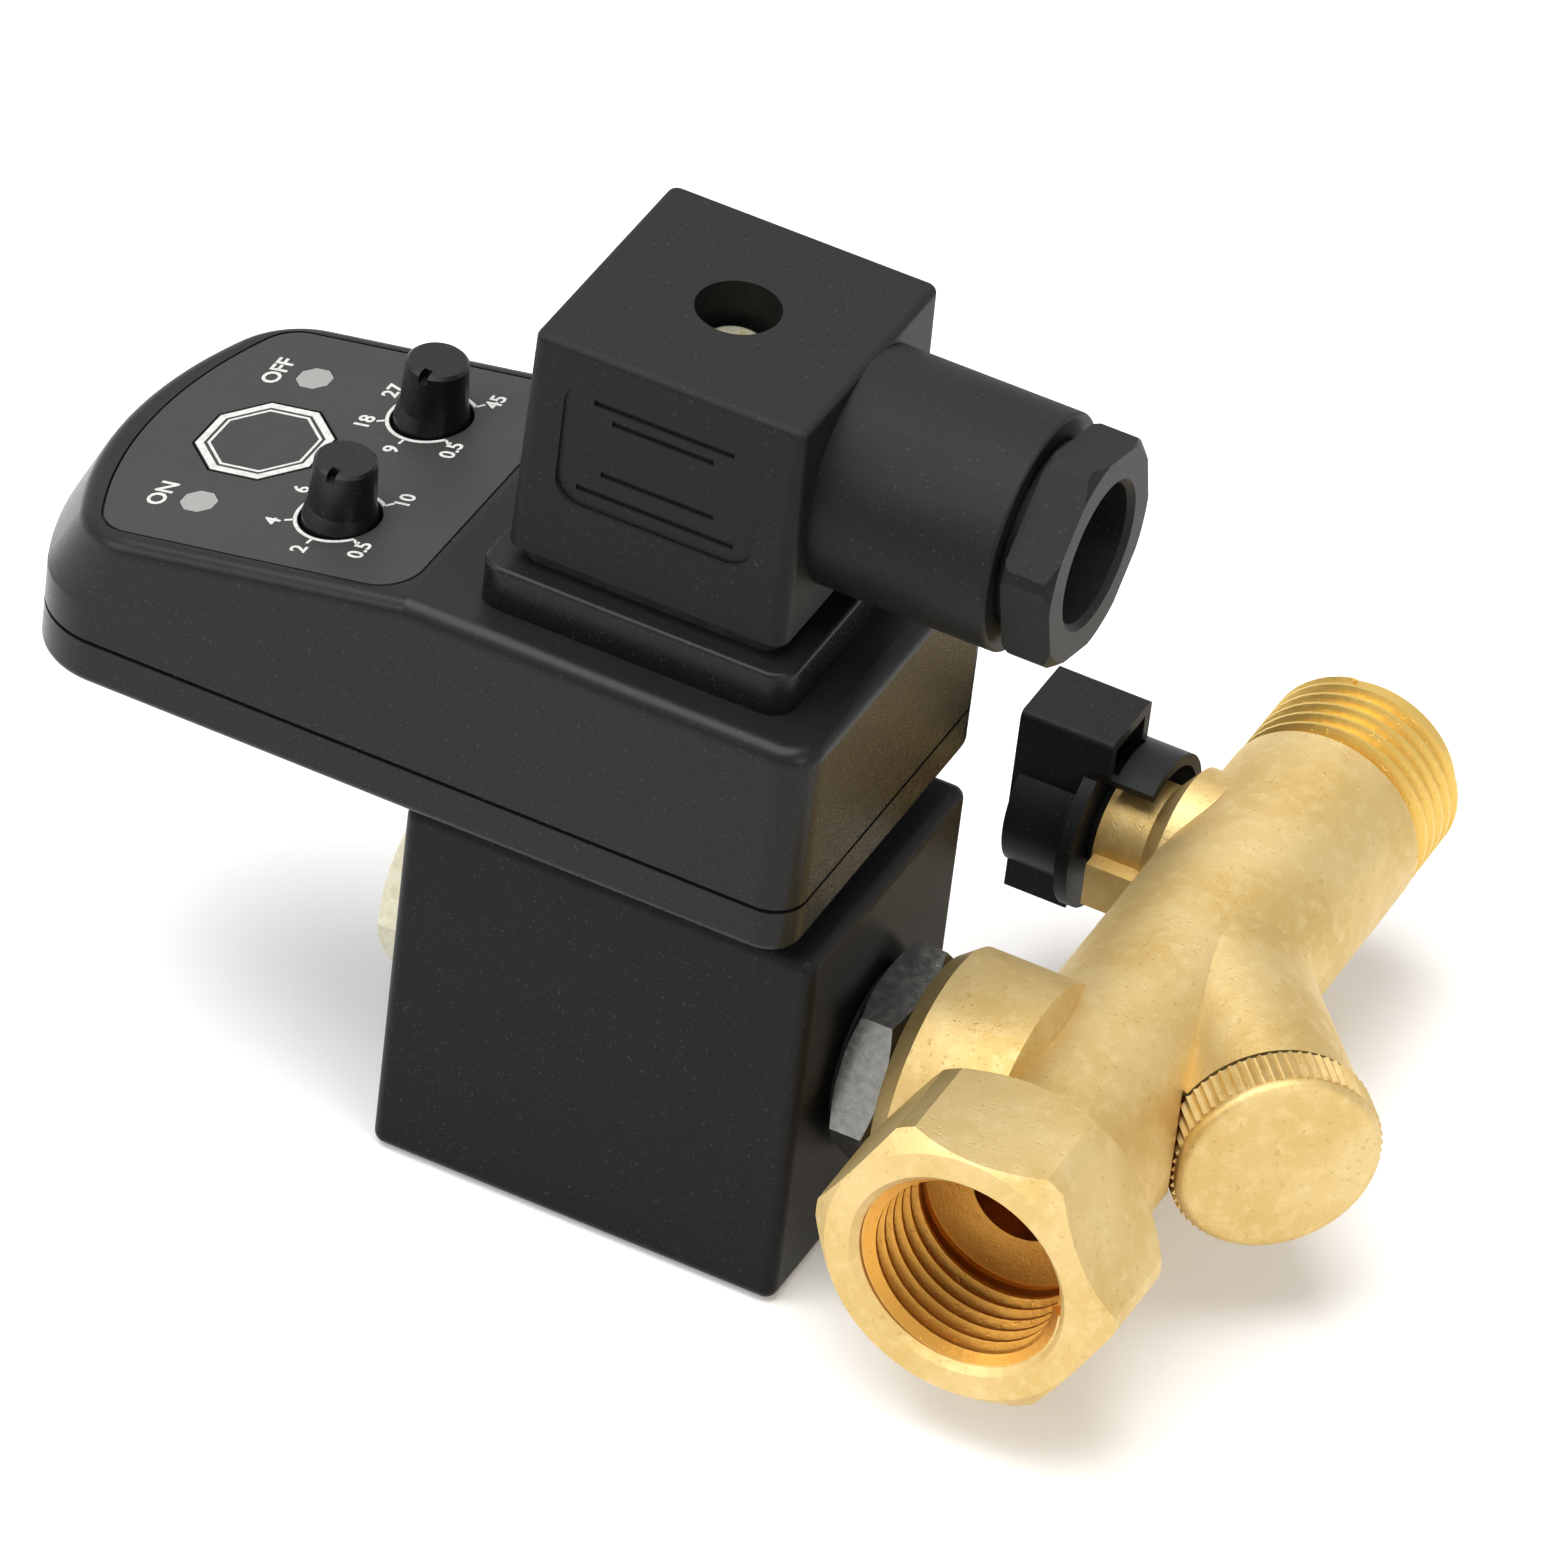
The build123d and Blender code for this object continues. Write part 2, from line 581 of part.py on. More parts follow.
# ---- strainer ----------------------------------------------------------------------------------------
def strainer_screen():
    end = CAP_START_S
    tube = ring(LEG, SCREEN_R, SCREEN_R - SCREEN_WALL, LEG_SEAT_S, end)
    first = LEG_SEAT_S + SCREEN_FIRST_ROW
    pitch = (end - CAP_SPIGOT_LENGTH - SCREEN_LAST_ROW - first) / (SCREEN_ROWS - 1)
    for row in range(SCREEN_ROWS):
        for column in range(SCREEN_COLUMNS // 2):
            turn = 360 / SCREEN_COLUMNS * (column + HALF_SPAN * (row % 2))
            drill = Pos(0, 0, first + row * pitch) * Rot(0, 0, turn) * Rot(0, 90, 0) * Cylinder(
                SCREEN_HOLE_R, 3 * SCREEN_R)
            tube -= LEG * drill
    return tube


def strainer_cap():
    face = CAP_START_S + CAP_RIM + CAP_FACE
    rim = disc(LEG, CAP_R, CAP_START_S, face)
    outer = rim.edges().filter_by(GeomType.CIRCLE).sort_by(Axis(LEG.origin, LEG.z_dir))[-1]
    rim = fillet(outer, CAP_EDGE_R)
    spigot = disc(LEG, CAP_SPIGOT_R, CAP_START_S - CAP_SPIGOT_LENGTH, CAP_START_S)
    cavity = disc(LEG, SCREEN_R + 0.05, CAP_START_S - CAP_SPIGOT_LENGTH - 1, CAP_START_S)
    return rim + spigot - cavity


def strainer_cap_seal():
    return ring(LEG, LEG_R - CAP_SEAL_INSET, CAP_SPIGOT_R, LEG_END_S, CAP_START_S)


# ---- solenoid -------------------------------------------------------------------------------------------
def armature_tube():
    spigot = disc(SOLENOID, TUBE_THREAD_R, TUBE_THREAD_S, TUBE_HEX_S)
    flange = prism(SOLENOID, TUBE_HEX_FLATS, 6, TUBE_HEX_S, TUBE_HEX_END_S, TUBE_HEX_TURN)
    corner_cut = turned(SOLENOID, [
        (TUBE_HEX_S, TUBE_HEX_FLATS / 2 + 0.1), (TUBE_HEX_S + 0.9, TUBE_HEX_FLATS * 0.6),
        (TUBE_HEX_END_S - 0.9, TUBE_HEX_FLATS * 0.6), (TUBE_HEX_END_S, TUBE_HEX_FLATS / 2 + 0.1),
    ])
    tube = disc(SOLENOID, TUBE_R, TUBE_HEX_END_S, CORE_HEAD_S)
    bore = disc(SOLENOID, TUBE_BORE_R, TUBE_THREAD_S - 1, CORE_HEAD_S + 1)
    return spigot + (flange & corner_cut) + tube - bore


def tube_seal():
    return ring(SOLENOID, TUBE_SEAL_OUT_R, TUBE_SEAL_IN_R, BOSS_FACE_S - TUBE_SEAL_DEPTH, TUBE_HEX_S)


def fixed_core():
    head_end = COIL_END_S - 0.3
    return turned(SOLENOID, [
        (CORE_FACE_S, TUBE_BORE_R), (CORE_HEAD_S, TUBE_BORE_R), (CORE_HEAD_S, TUBE_R),
        (head_end, TUBE_R), (head_end, STUD_R),
        (COIL_END_S + REAR_WASHER + COIL_NUT_LENGTH - 0.6, STUD_R),
    ])


def plunger():
    end = CORE_FACE_S - PLUNGER_GAP
    body = disc(SOLENOID, PLUNGER_R, PLUNGER_NOSE_S, end)
    pocket = disc(SOLENOID, SPRING_POCKET_R, end - SPRING_POCKET_DEPTH, end + 1)
    seal_seat = disc(SOLENOID, PLUNGER_SEAL_R, PLUNGER_NOSE_S - 1, PLUNGER_NOSE_S + PLUNGER_SEAL_DEPTH)
    return body - pocket - seal_seat


def plunger_seal():
    return disc(SOLENOID, PLUNGER_SEAL_R, PLUNGER_NOSE_S - PLUNGER_SEAL_PROUD,
                PLUNGER_NOSE_S + PLUNGER_SEAL_DEPTH)


def plunger_spring():
    start = CORE_FACE_S - PLUNGER_GAP - SPRING_POCKET_DEPTH + SPRING_WIRE
    length = PLUNGER_GAP + SPRING_POCKET_DEPTH - 2 * SPRING_WIRE
    path = Helix(pitch=length / SPRING_TURNS, height=length, radius=SPRING_R)
    section = Plane(origin=path @ 0, x_dir=(1, 0, 0), z_dir=path % 0) * Rectangle(SPRING_WIRE, SPRING_WIRE)
    return SOLENOID * Pos(0, 0, start) * sweep(section, path=path)


# ---- coil ------------------------------------------------------------------------------------------------
def coil_bobbin():
    start = COIL_START_S
    near = start + BOBBIN_END_INSET
    far = COIL_END_S - BOBBIN_END_INSET
    outer = COIL_BORE_R + BOBBIN_WALL
    tube = disc(SOLENOID, outer, start, COIL_END_S)
    tube += disc(SOLENOID, BOBBIN_FLANGE_R, near, near + BOBBIN_FLANGE)
    tube += disc(SOLENOID, BOBBIN_FLANGE_R, far - BOBBIN_FLANGE, far)
    return tube - disc(SOLENOID, COIL_BORE_R, start - 1, COIL_END_S + 1)


def coil_winding():
    near = COIL_START_S + BOBBIN_END_INSET + BOBBIN_FLANGE
    far = COIL_END_S - BOBBIN_END_INSET - BOBBIN_FLANGE
    return ring(SOLENOID, WINDING_R, COIL_BORE_R + BOBBIN_WALL, near, far)


def coil_yoke():
    length = COIL_LENGTH - 2 * YOKE_INSET
    outer = Pos(COIL_X, SOLENOID_Y, 0) * Box(length, YOKE_WIDTH, 2 * YOKE_HALF_HEIGHT)
    inner = Pos(COIL_X, SOLENOID_Y, 0) * Box(
        length - 2 * YOKE_WALL, YOKE_WIDTH + 2, 2 * (YOKE_HALF_HEIGHT - YOKE_WALL + 0.5))
    bore = disc(SOLENOID, COIL_BORE_R + BOBBIN_WALL, COIL_START_S - 1, COIL_END_S + 1)
    return outer - inner - bore


def contact_places():
    """The three DIN contacts about a plug's centre: x offset, y offset and turn."""
    side = BLADE_SPACING / 2
    return ((0, -side, 90), (0, side, 90), (EARTH_OFFSET, 0, 0))


def blades(z_low, z_high, extra=0.0):
    """Three blades about the plug's centre, or their slots where extra widens them."""
    parts = []
    for x, y, turn in contact_places():
        place = Pos(PLUG_X + x, SOLENOID_Y + y, z_low) * Rot(0, 0, turn)
        parts.append(place * Box(BLADE_THICKNESS + 2 * extra, BLADE_WIDTH + 2 * extra,
                                 z_high - z_low, align=MIN_Z))
    return parts


def carve(shape, tools):
    for tool in tools:
        shape -= tool
    return shape


def coil_blades():
    return Compound([b.solids()[0] for b in blades(NUT_INSERT_Z, BOARD_Z - 1.5)])


def coil_nut_insert():
    return upright(NUT_INSERT_R, PLUG_X, SOLENOID_Y, NUT_INSERT_Z, COIL_SEAT_Z) - upright(
        CENTRE_SCREW_R, PLUG_X, SOLENOID_Y, NUT_INSERT_Z - 1, COIL_SEAT_Z + 1)


def coil_body():
    shell = Pos(COIL_X, SOLENOID_Y, 0) * Box(COIL_LENGTH, COIL_WIDTH, COIL_HEIGHT)
    shell = fillet(shell.edges(), COIL_EDGE_R)
    shell += block(COIL_SEAT_SIZE, COIL_SEAT_SIZE, PLUG_X, SOLENOID_Y, COIL_TOP_Z - 2, COIL_SEAT_Z, 2)
    shell -= disc(SOLENOID, COIL_BORE_R + BOBBIN_WALL, COIL_START_S - 1, COIL_END_S + 1)
    flanges = coil_bobbin()
    shell = shell - flanges - coil_winding() - coil_yoke()
    shell -= upright(NUT_INSERT_R, PLUG_X, SOLENOID_Y, NUT_INSERT_Z, COIL_SEAT_Z + 1)
    return carve(shell, blades(NUT_INSERT_Z, COIL_SEAT_Z + 1))


def coil_front_washer():
    return ring(SOLENOID, FRONT_WASHER_R, TUBE_R, TUBE_HEX_END_S, COIL_START_S)


def coil_washer():
    return ring(SOLENOID, REAR_WASHER_R, STUD_R, COIL_END_S, COIL_END_S + REAR_WASHER)


def coil_nut():
    start = COIL_END_S + REAR_WASHER
    end = start + COIL_NUT_LENGTH
    nut = prism(SOLENOID, COIL_NUT_FLATS, 6, start, end, 0)
    reach = COIL_NUT_FLATS * 0.6
    dome = turned(SOLENOID, [
        (start, reach), (end - COIL_NUT_DOME, reach), (end, COIL_NUT_FLATS / 2 - COIL_NUT_CHAMFER),
    ])
    return (nut & dome) - disc(SOLENOID, STUD_R, start - 1, end + 1)


# ---- timer housing ------------------------------------------------------------------------------------------
def timer_outline(inset=0.0, left_inset=0.0):
    """Plan of the housing: straight sides, rounded right corners and a bowed left end."""
    half = TIMER_WIDTH / 2 - inset
    right = TIMER_RIGHT_X - inset
    left = TIMER_LEFT_X + inset + left_inset
    tip = left + TIMER_BOW
    outline = Polyline((tip, -half), (right, -half), (right, half), (tip, half))
    bow = ThreePointArc((tip, half), (left, 0), (tip, -half))
    face = make_face(outline + bow)
    corners = face.vertices().sort_by(Axis.X)
    face = fillet(corners[:2], TIMER_LEFT_CORNER_R - inset)
    face = fillet(face.vertices().group_by(Axis.X)[-1], TIMER_RIGHT_CORNER_R - inset)
    return Pos(0, SOLENOID_Y) * face


def above_panel(drop=0.0):
    """Everything over the sloping panel surface, or over a surface that lies lower by drop."""
    size = 120
    return PANEL * Pos(-size / 2, 0, -drop) * Box(size, size, size, align=MIN_Z)


def panel_outline(gap=0.0):
    """Outline of the front panel on its own plane, wider by gap for the recess that holds it."""
    stretch = 1 / cos(radians(PANEL_TILT))
    half = PANEL_WIDTH / 2 + gap
    right = (PANEL_RIGHT_X - PANEL_KINK_X) * stretch + gap
    left = (PANEL_LEFT_X - PANEL_KINK_X) * stretch - gap
    tip = left + PANEL_BOW
    outline = Polyline((tip, -half), (right, -half), (right, half), (tip, half))
    bow = ThreePointArc((tip, half), (left, 0), (tip, -half))
    return fillet(make_face(outline + bow).vertices(), PANEL_CORNER_R)


def dial_places():
    side = DIAL_SPACING / 2
    return (SOLENOID_Y + side, SOLENOID_Y - side)


def lens_places():
    side = LENS_SPACING / 2
    return (SOLENOID_Y + side, SOLENOID_Y - side)


def octagon_on_panel(x, y, radius, low, high):
    """Octagonal prism square to the panel; low and high count from the panel's surface."""
    along = (x - PANEL_KINK_X) / cos(radians(PANEL_TILT))
    section = RegularPolygon(radius, 8, rotation=22.5)
    return PANEL * Pos(along, y - SOLENOID_Y, low) * extrude(section, high - low)


def panel_openings():
    """Holes for dials, button and lenses through the panel and the cover below it."""
    low, high = TIMER_TOP_Z - DIAL_OPENING_DROP, TIMER_TOP_Z + OPENING_RISE
    tools = [upright(DIAL_FOOT_R + DIAL_HOLE_CLEARANCE, DIAL_X, y, low, high) for y in dial_places()]
    tools.append(octagon_on_panel(BUTTON_X, SOLENOID_Y, BUTTON_R + BUTTON_GAP, -OPENING_DROP, OPENING_RISE))
    for y in lens_places():
        tools.append(octagon_on_panel(LENS_X, y, LENS_R + LENS_CLEARANCE, -OPENING_DROP, OPENING_RISE))
    return tools


def timer_cover():
    straight = extrude(Pos(0, 0, TIMER_SEAM_Z) * timer_outline(), TIMER_LEAN_Z - TIMER_SEAM_Z)
    leaning = loft([
        Pos(0, 0, TIMER_LEAN_Z) * timer_outline(),
        Pos(0, 0, TIMER_TOP_Z) * timer_outline(left_inset=TIMER_LEAN),
    ])
    shell = straight + leaning - above_panel()
    rim = [e for e in shell.edges() if on_top_rim(e)]
    shell = fillet(rim, TIMER_EDGE_R)
    cavity = extrude(Pos(0, 0, TIMER_SEAM_Z - 1) * timer_outline(TIMER_WALL, TIMER_LEAN / 2),
                     TIMER_TOP_Z - TIMER_WALL - TIMER_SEAM_Z + 1)
    shell -= cavity - above_panel(TIMER_WALL)
    shell += plug_collar()
    shell -= PANEL * Pos(0, 0, -PANEL_THICKNESS) * extrude(panel_outline(PANEL_GAP), 3)
    inner = COLLAR_SIZE - 2 * COLLAR_WALL
    shell -= block(inner, inner, PLUG_X, SOLENOID_Y, TIMER_TOP_Z - TIMER_WALL - 1, COLLAR_TOP_Z - TIMER_WALL, 1)
    shell = carve(shell, blades(TIMER_TOP_Z, COLLAR_TOP_Z + 1, BLADE_SLOT_CLEARANCE))
    shell -= upright(CENTRE_SCREW_R + CENTRE_SCREW_CLEARANCE, PLUG_X, SOLENOID_Y, TIMER_TOP_Z, COLLAR_TOP_Z + 1)
    return carve(shell, panel_openings())


def on_top_rim(edge):
    """True for the outline of the level top and the sloping panel, not for the kink between them."""
    centre = edge.center()
    height = min(TIMER_TOP_Z, panel_z(centre.X))
    if edge.geom_type == GeomType.LINE and abs(edge.tangent_at(0.5).Y) > 0.9:
        return abs(centre.X - TIMER_RIGHT_X) < 0.01 and abs(centre.Z - height) < 0.01
    return abs(centre.Z - height) < 0.05


def plug_collar():
    collar = block(COLLAR_SIZE, COLLAR_SIZE, PLUG_X, SOLENOID_Y, TIMER_TOP_Z - 1, COLLAR_TOP_Z, COLLAR_CORNER_R)
    return fillet(collar.faces().sort_by(Axis.Z)[-1].edges(), 0.5)


def screw_places():
    side = TIMER_WIDTH / 2 - SCREW_FROM_SIDE
    ends = (TIMER_RIGHT_X - SCREW_FROM_RIGHT, TIMER_LEFT_X + SCREW_FROM_LEFT)
    return [(x, SOLENOID_Y + s) for x in ends for s in (-side, side)]


def timer_base():
    shell = extrude(Pos(0, 0, TIMER_BOTTOM_Z) * timer_outline(), TIMER_SEAM_Z - SEAM_HEIGHT - TIMER_BOTTOM_Z)
    shell = fillet(shell.faces().sort_by(Axis.Z)[0].outer_wire().edges(), TIMER_BASE_EDGE_R)
    shell += extrude(Pos(0, 0, TIMER_SEAM_Z - SEAM_HEIGHT - 0.5) * timer_outline(SEAM_INSET), SEAM_HEIGHT + 0.5)
    shell -= extrude(Pos(0, 0, TIMER_BOTTOM_Z + TIMER_WALL) * timer_outline(TIMER_WALL), TIMER_TOP_Z)
    for x, y in screw_places():
        shell += upright(POST_R, x, y, TIMER_BOTTOM_Z + TIMER_WALL - 0.5, BOARD_Z)
    for x, y in screw_places():
        shell -= upright(SCREW_R + 0.1, x, y, TIMER_BOTTOM_Z - 1, BOARD_Z + 1)
        shell -= upright(SCREW_HEAD_R + 0.1, x, y, TIMER_BOTTOM_Z - 1, TIMER_BOTTOM_Z + SCREW_HEAD)
    shell = carve(shell, blades(TIMER_BOTTOM_Z - 1, TIMER_SEAM_Z, BLADE_SLOT_CLEARANCE))
    return shell - upright(CENTRE_SCREW_R + CENTRE_SCREW_CLEARANCE, PLUG_X, SOLENOID_Y,
                           TIMER_BOTTOM_Z - 1, TIMER_SEAM_Z)


def timer_screws():
    screws = []
    for x, y in screw_places():
        screw = upright(SCREW_R, x, y, TIMER_BOTTOM_Z + SCREW_HEAD, BOARD_TOP_Z)
        screw += upright(SCREW_HEAD_R, x, y, TIMER_BOTTOM_Z + 0.2, TIMER_BOTTOM_Z + SCREW_HEAD)
        screw -= Pos(x, y, TIMER_BOTTOM_Z) * Box(2.6, 0.6, 1.6)
        screws.append(screw.solids()[0])
    return Compound(screws)


def timer_gasket():
    plate = block(GASKET_SIZE, GASKET_SIZE, PLUG_X, SOLENOID_Y, COIL_SEAT_Z, TIMER_BOTTOM_Z, GASKET_CORNER_R)
    plate = carve(plate, blades(COIL_SEAT_Z - 1, TIMER_BOTTOM_Z + 1, BLADE_SLOT_CLEARANCE))
    return plate - upright(CENTRE_SCREW_R + CENTRE_SCREW_CLEARANCE, PLUG_X, SOLENOID_Y,
                           COIL_SEAT_Z - 1, TIMER_BOTTOM_Z + 1)


def timer_board():
    board = extrude(Pos(0, 0, BOARD_Z) * timer_outline(TIMER_WALL + BOARD_CLEARANCE, TIMER_LEAN / 2),
                    BOARD_THICKNESS)
    for x, y in screw_places():
        board -= upright(SCREW_R, x, y, BOARD_Z - 1, BOARD_TOP_Z + 1)
    return board - upright(CENTRE_SCREW_R + CENTRE_SCREW_CLEARANCE, PLUG_X, SOLENOID_Y,
                           BOARD_Z - 1, BOARD_TOP_Z + 1)


def timer_sockets():
    """Spring clips under the board that grip the coil's blades."""
    clips = []
    for x, y, turn in contact_places():
        slot = BLADE_THICKNESS + 2 * CLIP_CLEARANCE
        place = Pos(PLUG_X + x, SOLENOID_Y + y, TIMER_BOTTOM_Z + TIMER_WALL) * Rot(0, 0, turn)
        height = BOARD_Z - TIMER_BOTTOM_Z - TIMER_WALL
        clip = Box(slot + 2 * CLIP_WALL, BLADE_WIDTH + 0.4, height, align=MIN_Z)
        clip -= Box(slot, BLADE_WIDTH + 2, 2 * (BOARD_Z - 1.4 - TIMER_BOTTOM_Z - TIMER_WALL))
        clips.append((place * clip).solids()[0])
    return Compound(clips)


def timer_blades():
    return Compound([b.solids()[0] for b in blades(BOARD_TOP_Z, PLUG_BOTTOM_Z + CONTACT_HEIGHT)])


# ---- controls -------------------------------------------------------------------------------------------------
def front_panel():
    panel = PANEL * Pos(0, 0, -PANEL_THICKNESS) * extrude(panel_outline(), PANEL_THICKNESS)
    return carve(panel, panel_openings())


def time_dial(y):
    knob = turned(Plane(origin=(DIAL_X, y, 0)), [
        (DIAL_BOTTOM_Z, DIAL_FOOT_R), (DIAL_FOOT_Z, DIAL_FOOT_R), (DIAL_FLARE_Z, DIAL_WAIST_R),
        (DIAL_TOP_Z - 0.3, DIAL_TOP_R), (DIAL_TOP_Z, DIAL_TOP_R - 0.3),
    ])
    notch = Pos(DIAL_X, y - DIAL_TOP_R, DIAL_TOP_Z) * Box(DIAL_NOTCH_WIDTH, 2.4, 2 * DIAL_NOTCH_DEPTH)
    shaft = upright(DIAL_SHAFT_R, DIAL_X, y, BOARD_TOP_Z + 1.5, DIAL_BOTTOM_Z)
    return knob + shaft - notch


def time_pot(y):
    top = BOARD_TOP_Z + POT_HEIGHT
    pot = block(POT_SIZE, POT_SIZE, DIAL_X, y, BOARD_TOP_Z, top)
    pot += upright(POT_HUB_R, DIAL_X, y, top, top + POT_HUB_HEIGHT)
    return pot - upright(DIAL_SHAFT_R + SHAFT_CLEARANCE, DIAL_X, y, BOARD_TOP_Z + 1, top + POT_HUB_HEIGHT + 1)


def switch_top():
    """Distance of the switch's pin below the panel surface, along the panel's normal."""
    height = panel_z(BUTTON_X) - BOARD_TOP_Z - SWITCH_HEIGHT - SWITCH_PIN
    return height * cos(radians(PANEL_TILT))


def test_button():
    cap = octagon_on_panel(BUTTON_X, SOLENOID_Y, BUTTON_R, -BUTTON_PLATE, 0)
    flange = octagon_on_panel(BUTTON_X, SOLENOID_Y, BUTTON_FLANGE_R,
                              -TIMER_WALL - BUTTON_FLANGE - 0.1, -TIMER_WALL - 0.1)
    along = (BUTTON_X - PANEL_KINK_X) / cos(radians(PANEL_TILT))
    stem_end = -(switch_top() - BUTTON_TRAVEL - 0.45)
    stem = disc(PANEL * Pos(along, 0, 0), BUTTON_STEM_R, stem_end, -BUTTON_PLATE)
    return cap + flange + stem


def test_switch():
    top = BOARD_TOP_Z + SWITCH_HEIGHT
    foot = BUTTON_X + PANEL_SLOPE * (panel_z(BUTTON_X) - top) * cos(radians(PANEL_TILT))
    body = block(SWITCH_SIZE, SWITCH_SIZE, foot, SOLENOID_Y, BOARD_TOP_Z, top)
    return body + upright(SWITCH_PIN_R, foot, SOLENOID_Y, top, top + SWITCH_PIN)


def status_lenses():
    return Compound([
        octagon_on_panel(LENS_X, y, LENS_R, -LENS_LENGTH, 0).solids()[0] for y in lens_places()])


def status_leds():
    return Compound([
        upright(LED_R, LENS_X, y, BOARD_TOP_Z, BOARD_TOP_Z + LED_HEIGHT).solids()[0] for y in lens_places()])


# ---- plug ---------------------------------------------------------------------------------------------------------
def plug_gasket():
    plate = block(GASKET_SIZE, GASKET_SIZE, PLUG_X, SOLENOID_Y, COLLAR_TOP_Z, PLUG_BOTTOM_Z, GASKET_CORNER_R)
    plate = carve(plate, blades(COLLAR_TOP_Z - 1, PLUG_BOTTOM_Z + 1, BLADE_SLOT_CLEARANCE))
    return plate - upright(CENTRE_SCREW_R + CENTRE_SCREW_CLEARANCE, PLUG_X, SOLENOID_Y,
                           COLLAR_TOP_Z - 1, PLUG_BOTTOM_Z + 1)


def plug_block():
    height = PLUG_TOP_Z - PLUG_BOTTOM_Z
    draft = degrees(atan((PLUG_BOTTOM_SIZE - PLUG_TOP_SIZE) / 2 / height))
    section = RectangleRounded(PLUG_BOTTOM_SIZE, PLUG_BOTTOM_SIZE, PLUG_CORNER_R)
    tapered = Pos(PLUG_X, SOLENOID_Y, PLUG_BOTTOM_Z) * extrude(section, height, taper=draft)
    return fillet(tapered.faces().sort_by(Axis.Z)[-1].edges(), PLUG_EDGE_R)


def plug_frame():
    """Shallow recess on the plug's front with plain grooves cut across it."""
    front = SOLENOID_Y - (PLUG_TOP_SIZE + PLUG_BOTTOM_SIZE) / 4
    face = Plane(origin=(PLUG_X, front, FRAME_CENTRE_Z), x_dir=(1, 0, 0), z_dir=(0, -1, 0))
    recess = face * Pos(0, 0, -FRAME_DEPTH) * extrude(
        RectangleRounded(FRAME_WIDTH, FRAME_HEIGHT, FRAME_CORNER_R), FRAME_DEPTH + 1)
    for height, length in GROOVES:
        recess += face * Pos(0, height, -2 * FRAME_DEPTH) * extrude(
            Rectangle(length, GROOVE_WIDTH), 2 * FRAME_DEPTH + 0.1)
    return recess


def plug_housing():
    inner = PLUG_TOP_SIZE - 2 * PLUG_WALL
    cavity = block(inner, inner, PLUG_X, SOLENOID_Y, PLUG_BOTTOM_Z - 1, PLUG_TOP_Z - PLUG_ROOF, 1)
    tube = disc(GLAND, GLAND_R, 0, GLAND_END_S)
    tube = fillet(tube.edges().filter_by(GeomType.CIRCLE).sort_by(Axis.X)[-1], 0.4)
    throat = disc(GLAND, GLAND_BORE_R, PLUG_TOP_SIZE / 2 - PLUG_WALL - 1, GLAND_END_S + 1)
    post_bottom = PLUG_BOTTOM_Z + INSERT_HEIGHT + 0.4
    post = upright(PLUG_POST_R, PLUG_X, SOLENOID_Y, post_bottom, PLUG_TOP_Z - 1)
    shell = plug_block() + tube - cavity
    shell = shell - throat + post - plug_frame()
    shell -= upright(PLUG_HOLE_R, PLUG_X, SOLENOID_Y, PLUG_TOP_Z - PLUG_HOLE_DEPTH, PLUG_TOP_Z + 1)
    return shell - upright(CENTRE_SCREW_R + CENTRE_SCREW_CLEARANCE, PLUG_X, SOLENOID_Y,
                           post_bottom - 1, PLUG_TOP_Z)


def contact_boxes(extra=0.0):
    """Places of the three contacts in the insert, or their pockets where extra widens them."""
    tools = []
    for x, y, turn in contact_places():
        place = Pos(PLUG_X + x, SOLENOID_Y + y, PLUG_BOTTOM_Z + 0.8 - extra) * Rot(0, 0, turn)
        tools.append(place * Box(BLADE_THICKNESS + 2 * CONTACT_WALL + 2 * extra,
                                 BLADE_WIDTH + 0.8 + 2 * extra, CONTACT_HEIGHT + 2 * extra, align=MIN_Z))
    return tools


def plug_insert():
    size = PLUG_TOP_SIZE - 2 * PLUG_WALL - 2 * INSERT_CLEARANCE
    body = block(size, size, PLUG_X, SOLENOID_Y, PLUG_BOTTOM_Z, PLUG_BOTTOM_Z + INSERT_HEIGHT, 1)
    body = carve(body, contact_boxes(0.02))
    body = carve(body, blades(PLUG_BOTTOM_Z - 1, PLUG_BOTTOM_Z + 2, BLADE_SLOT_CLEARANCE))
    for x, y, turn in contact_places():
        body -= upright(CLAMP_SCREW_R + 0.6, PLUG_X + x, SOLENOID_Y + y,
                        PLUG_BOTTOM_Z + CONTACT_HEIGHT, PLUG_BOTTOM_Z + INSERT_HEIGHT + 1)
    return body - upright(CENTRE_SCREW_R + CENTRE_SCREW_CLEARANCE, PLUG_X, SOLENOID_Y,
                          PLUG_BOTTOM_Z - 1, PLUG_BOTTOM_Z + INSERT_HEIGHT + 1)


def plug_contacts():
    contacts = []
    slots = blades(PLUG_BOTTOM_Z, PLUG_BOTTOM_Z + CONTACT_HEIGHT + 0.05, CLIP_CLEARANCE)
    for box, slot in zip(contact_boxes(), slots):
        contacts.append((box - slot).solids()[0])
    return Compound(contacts)


def plug_clamp_screws():
    screws = []
    low = PLUG_BOTTOM_Z + 0.8 + CONTACT_HEIGHT
    for x, y, turn in contact_places():
        screw = upright(CLAMP_SCREW_R, PLUG_X + x, SOLENOID_Y + y, low, low + CLAMP_SCREW_HEAD)
        slot = Pos(PLUG_X + x, SOLENOID_Y + y, low + CLAMP_SCREW_HEAD) * Rot(0, 0, turn) * Box(0.5, 4, 1)
        screws.append((screw - slot).solids()[0])
    return Compound(screws)


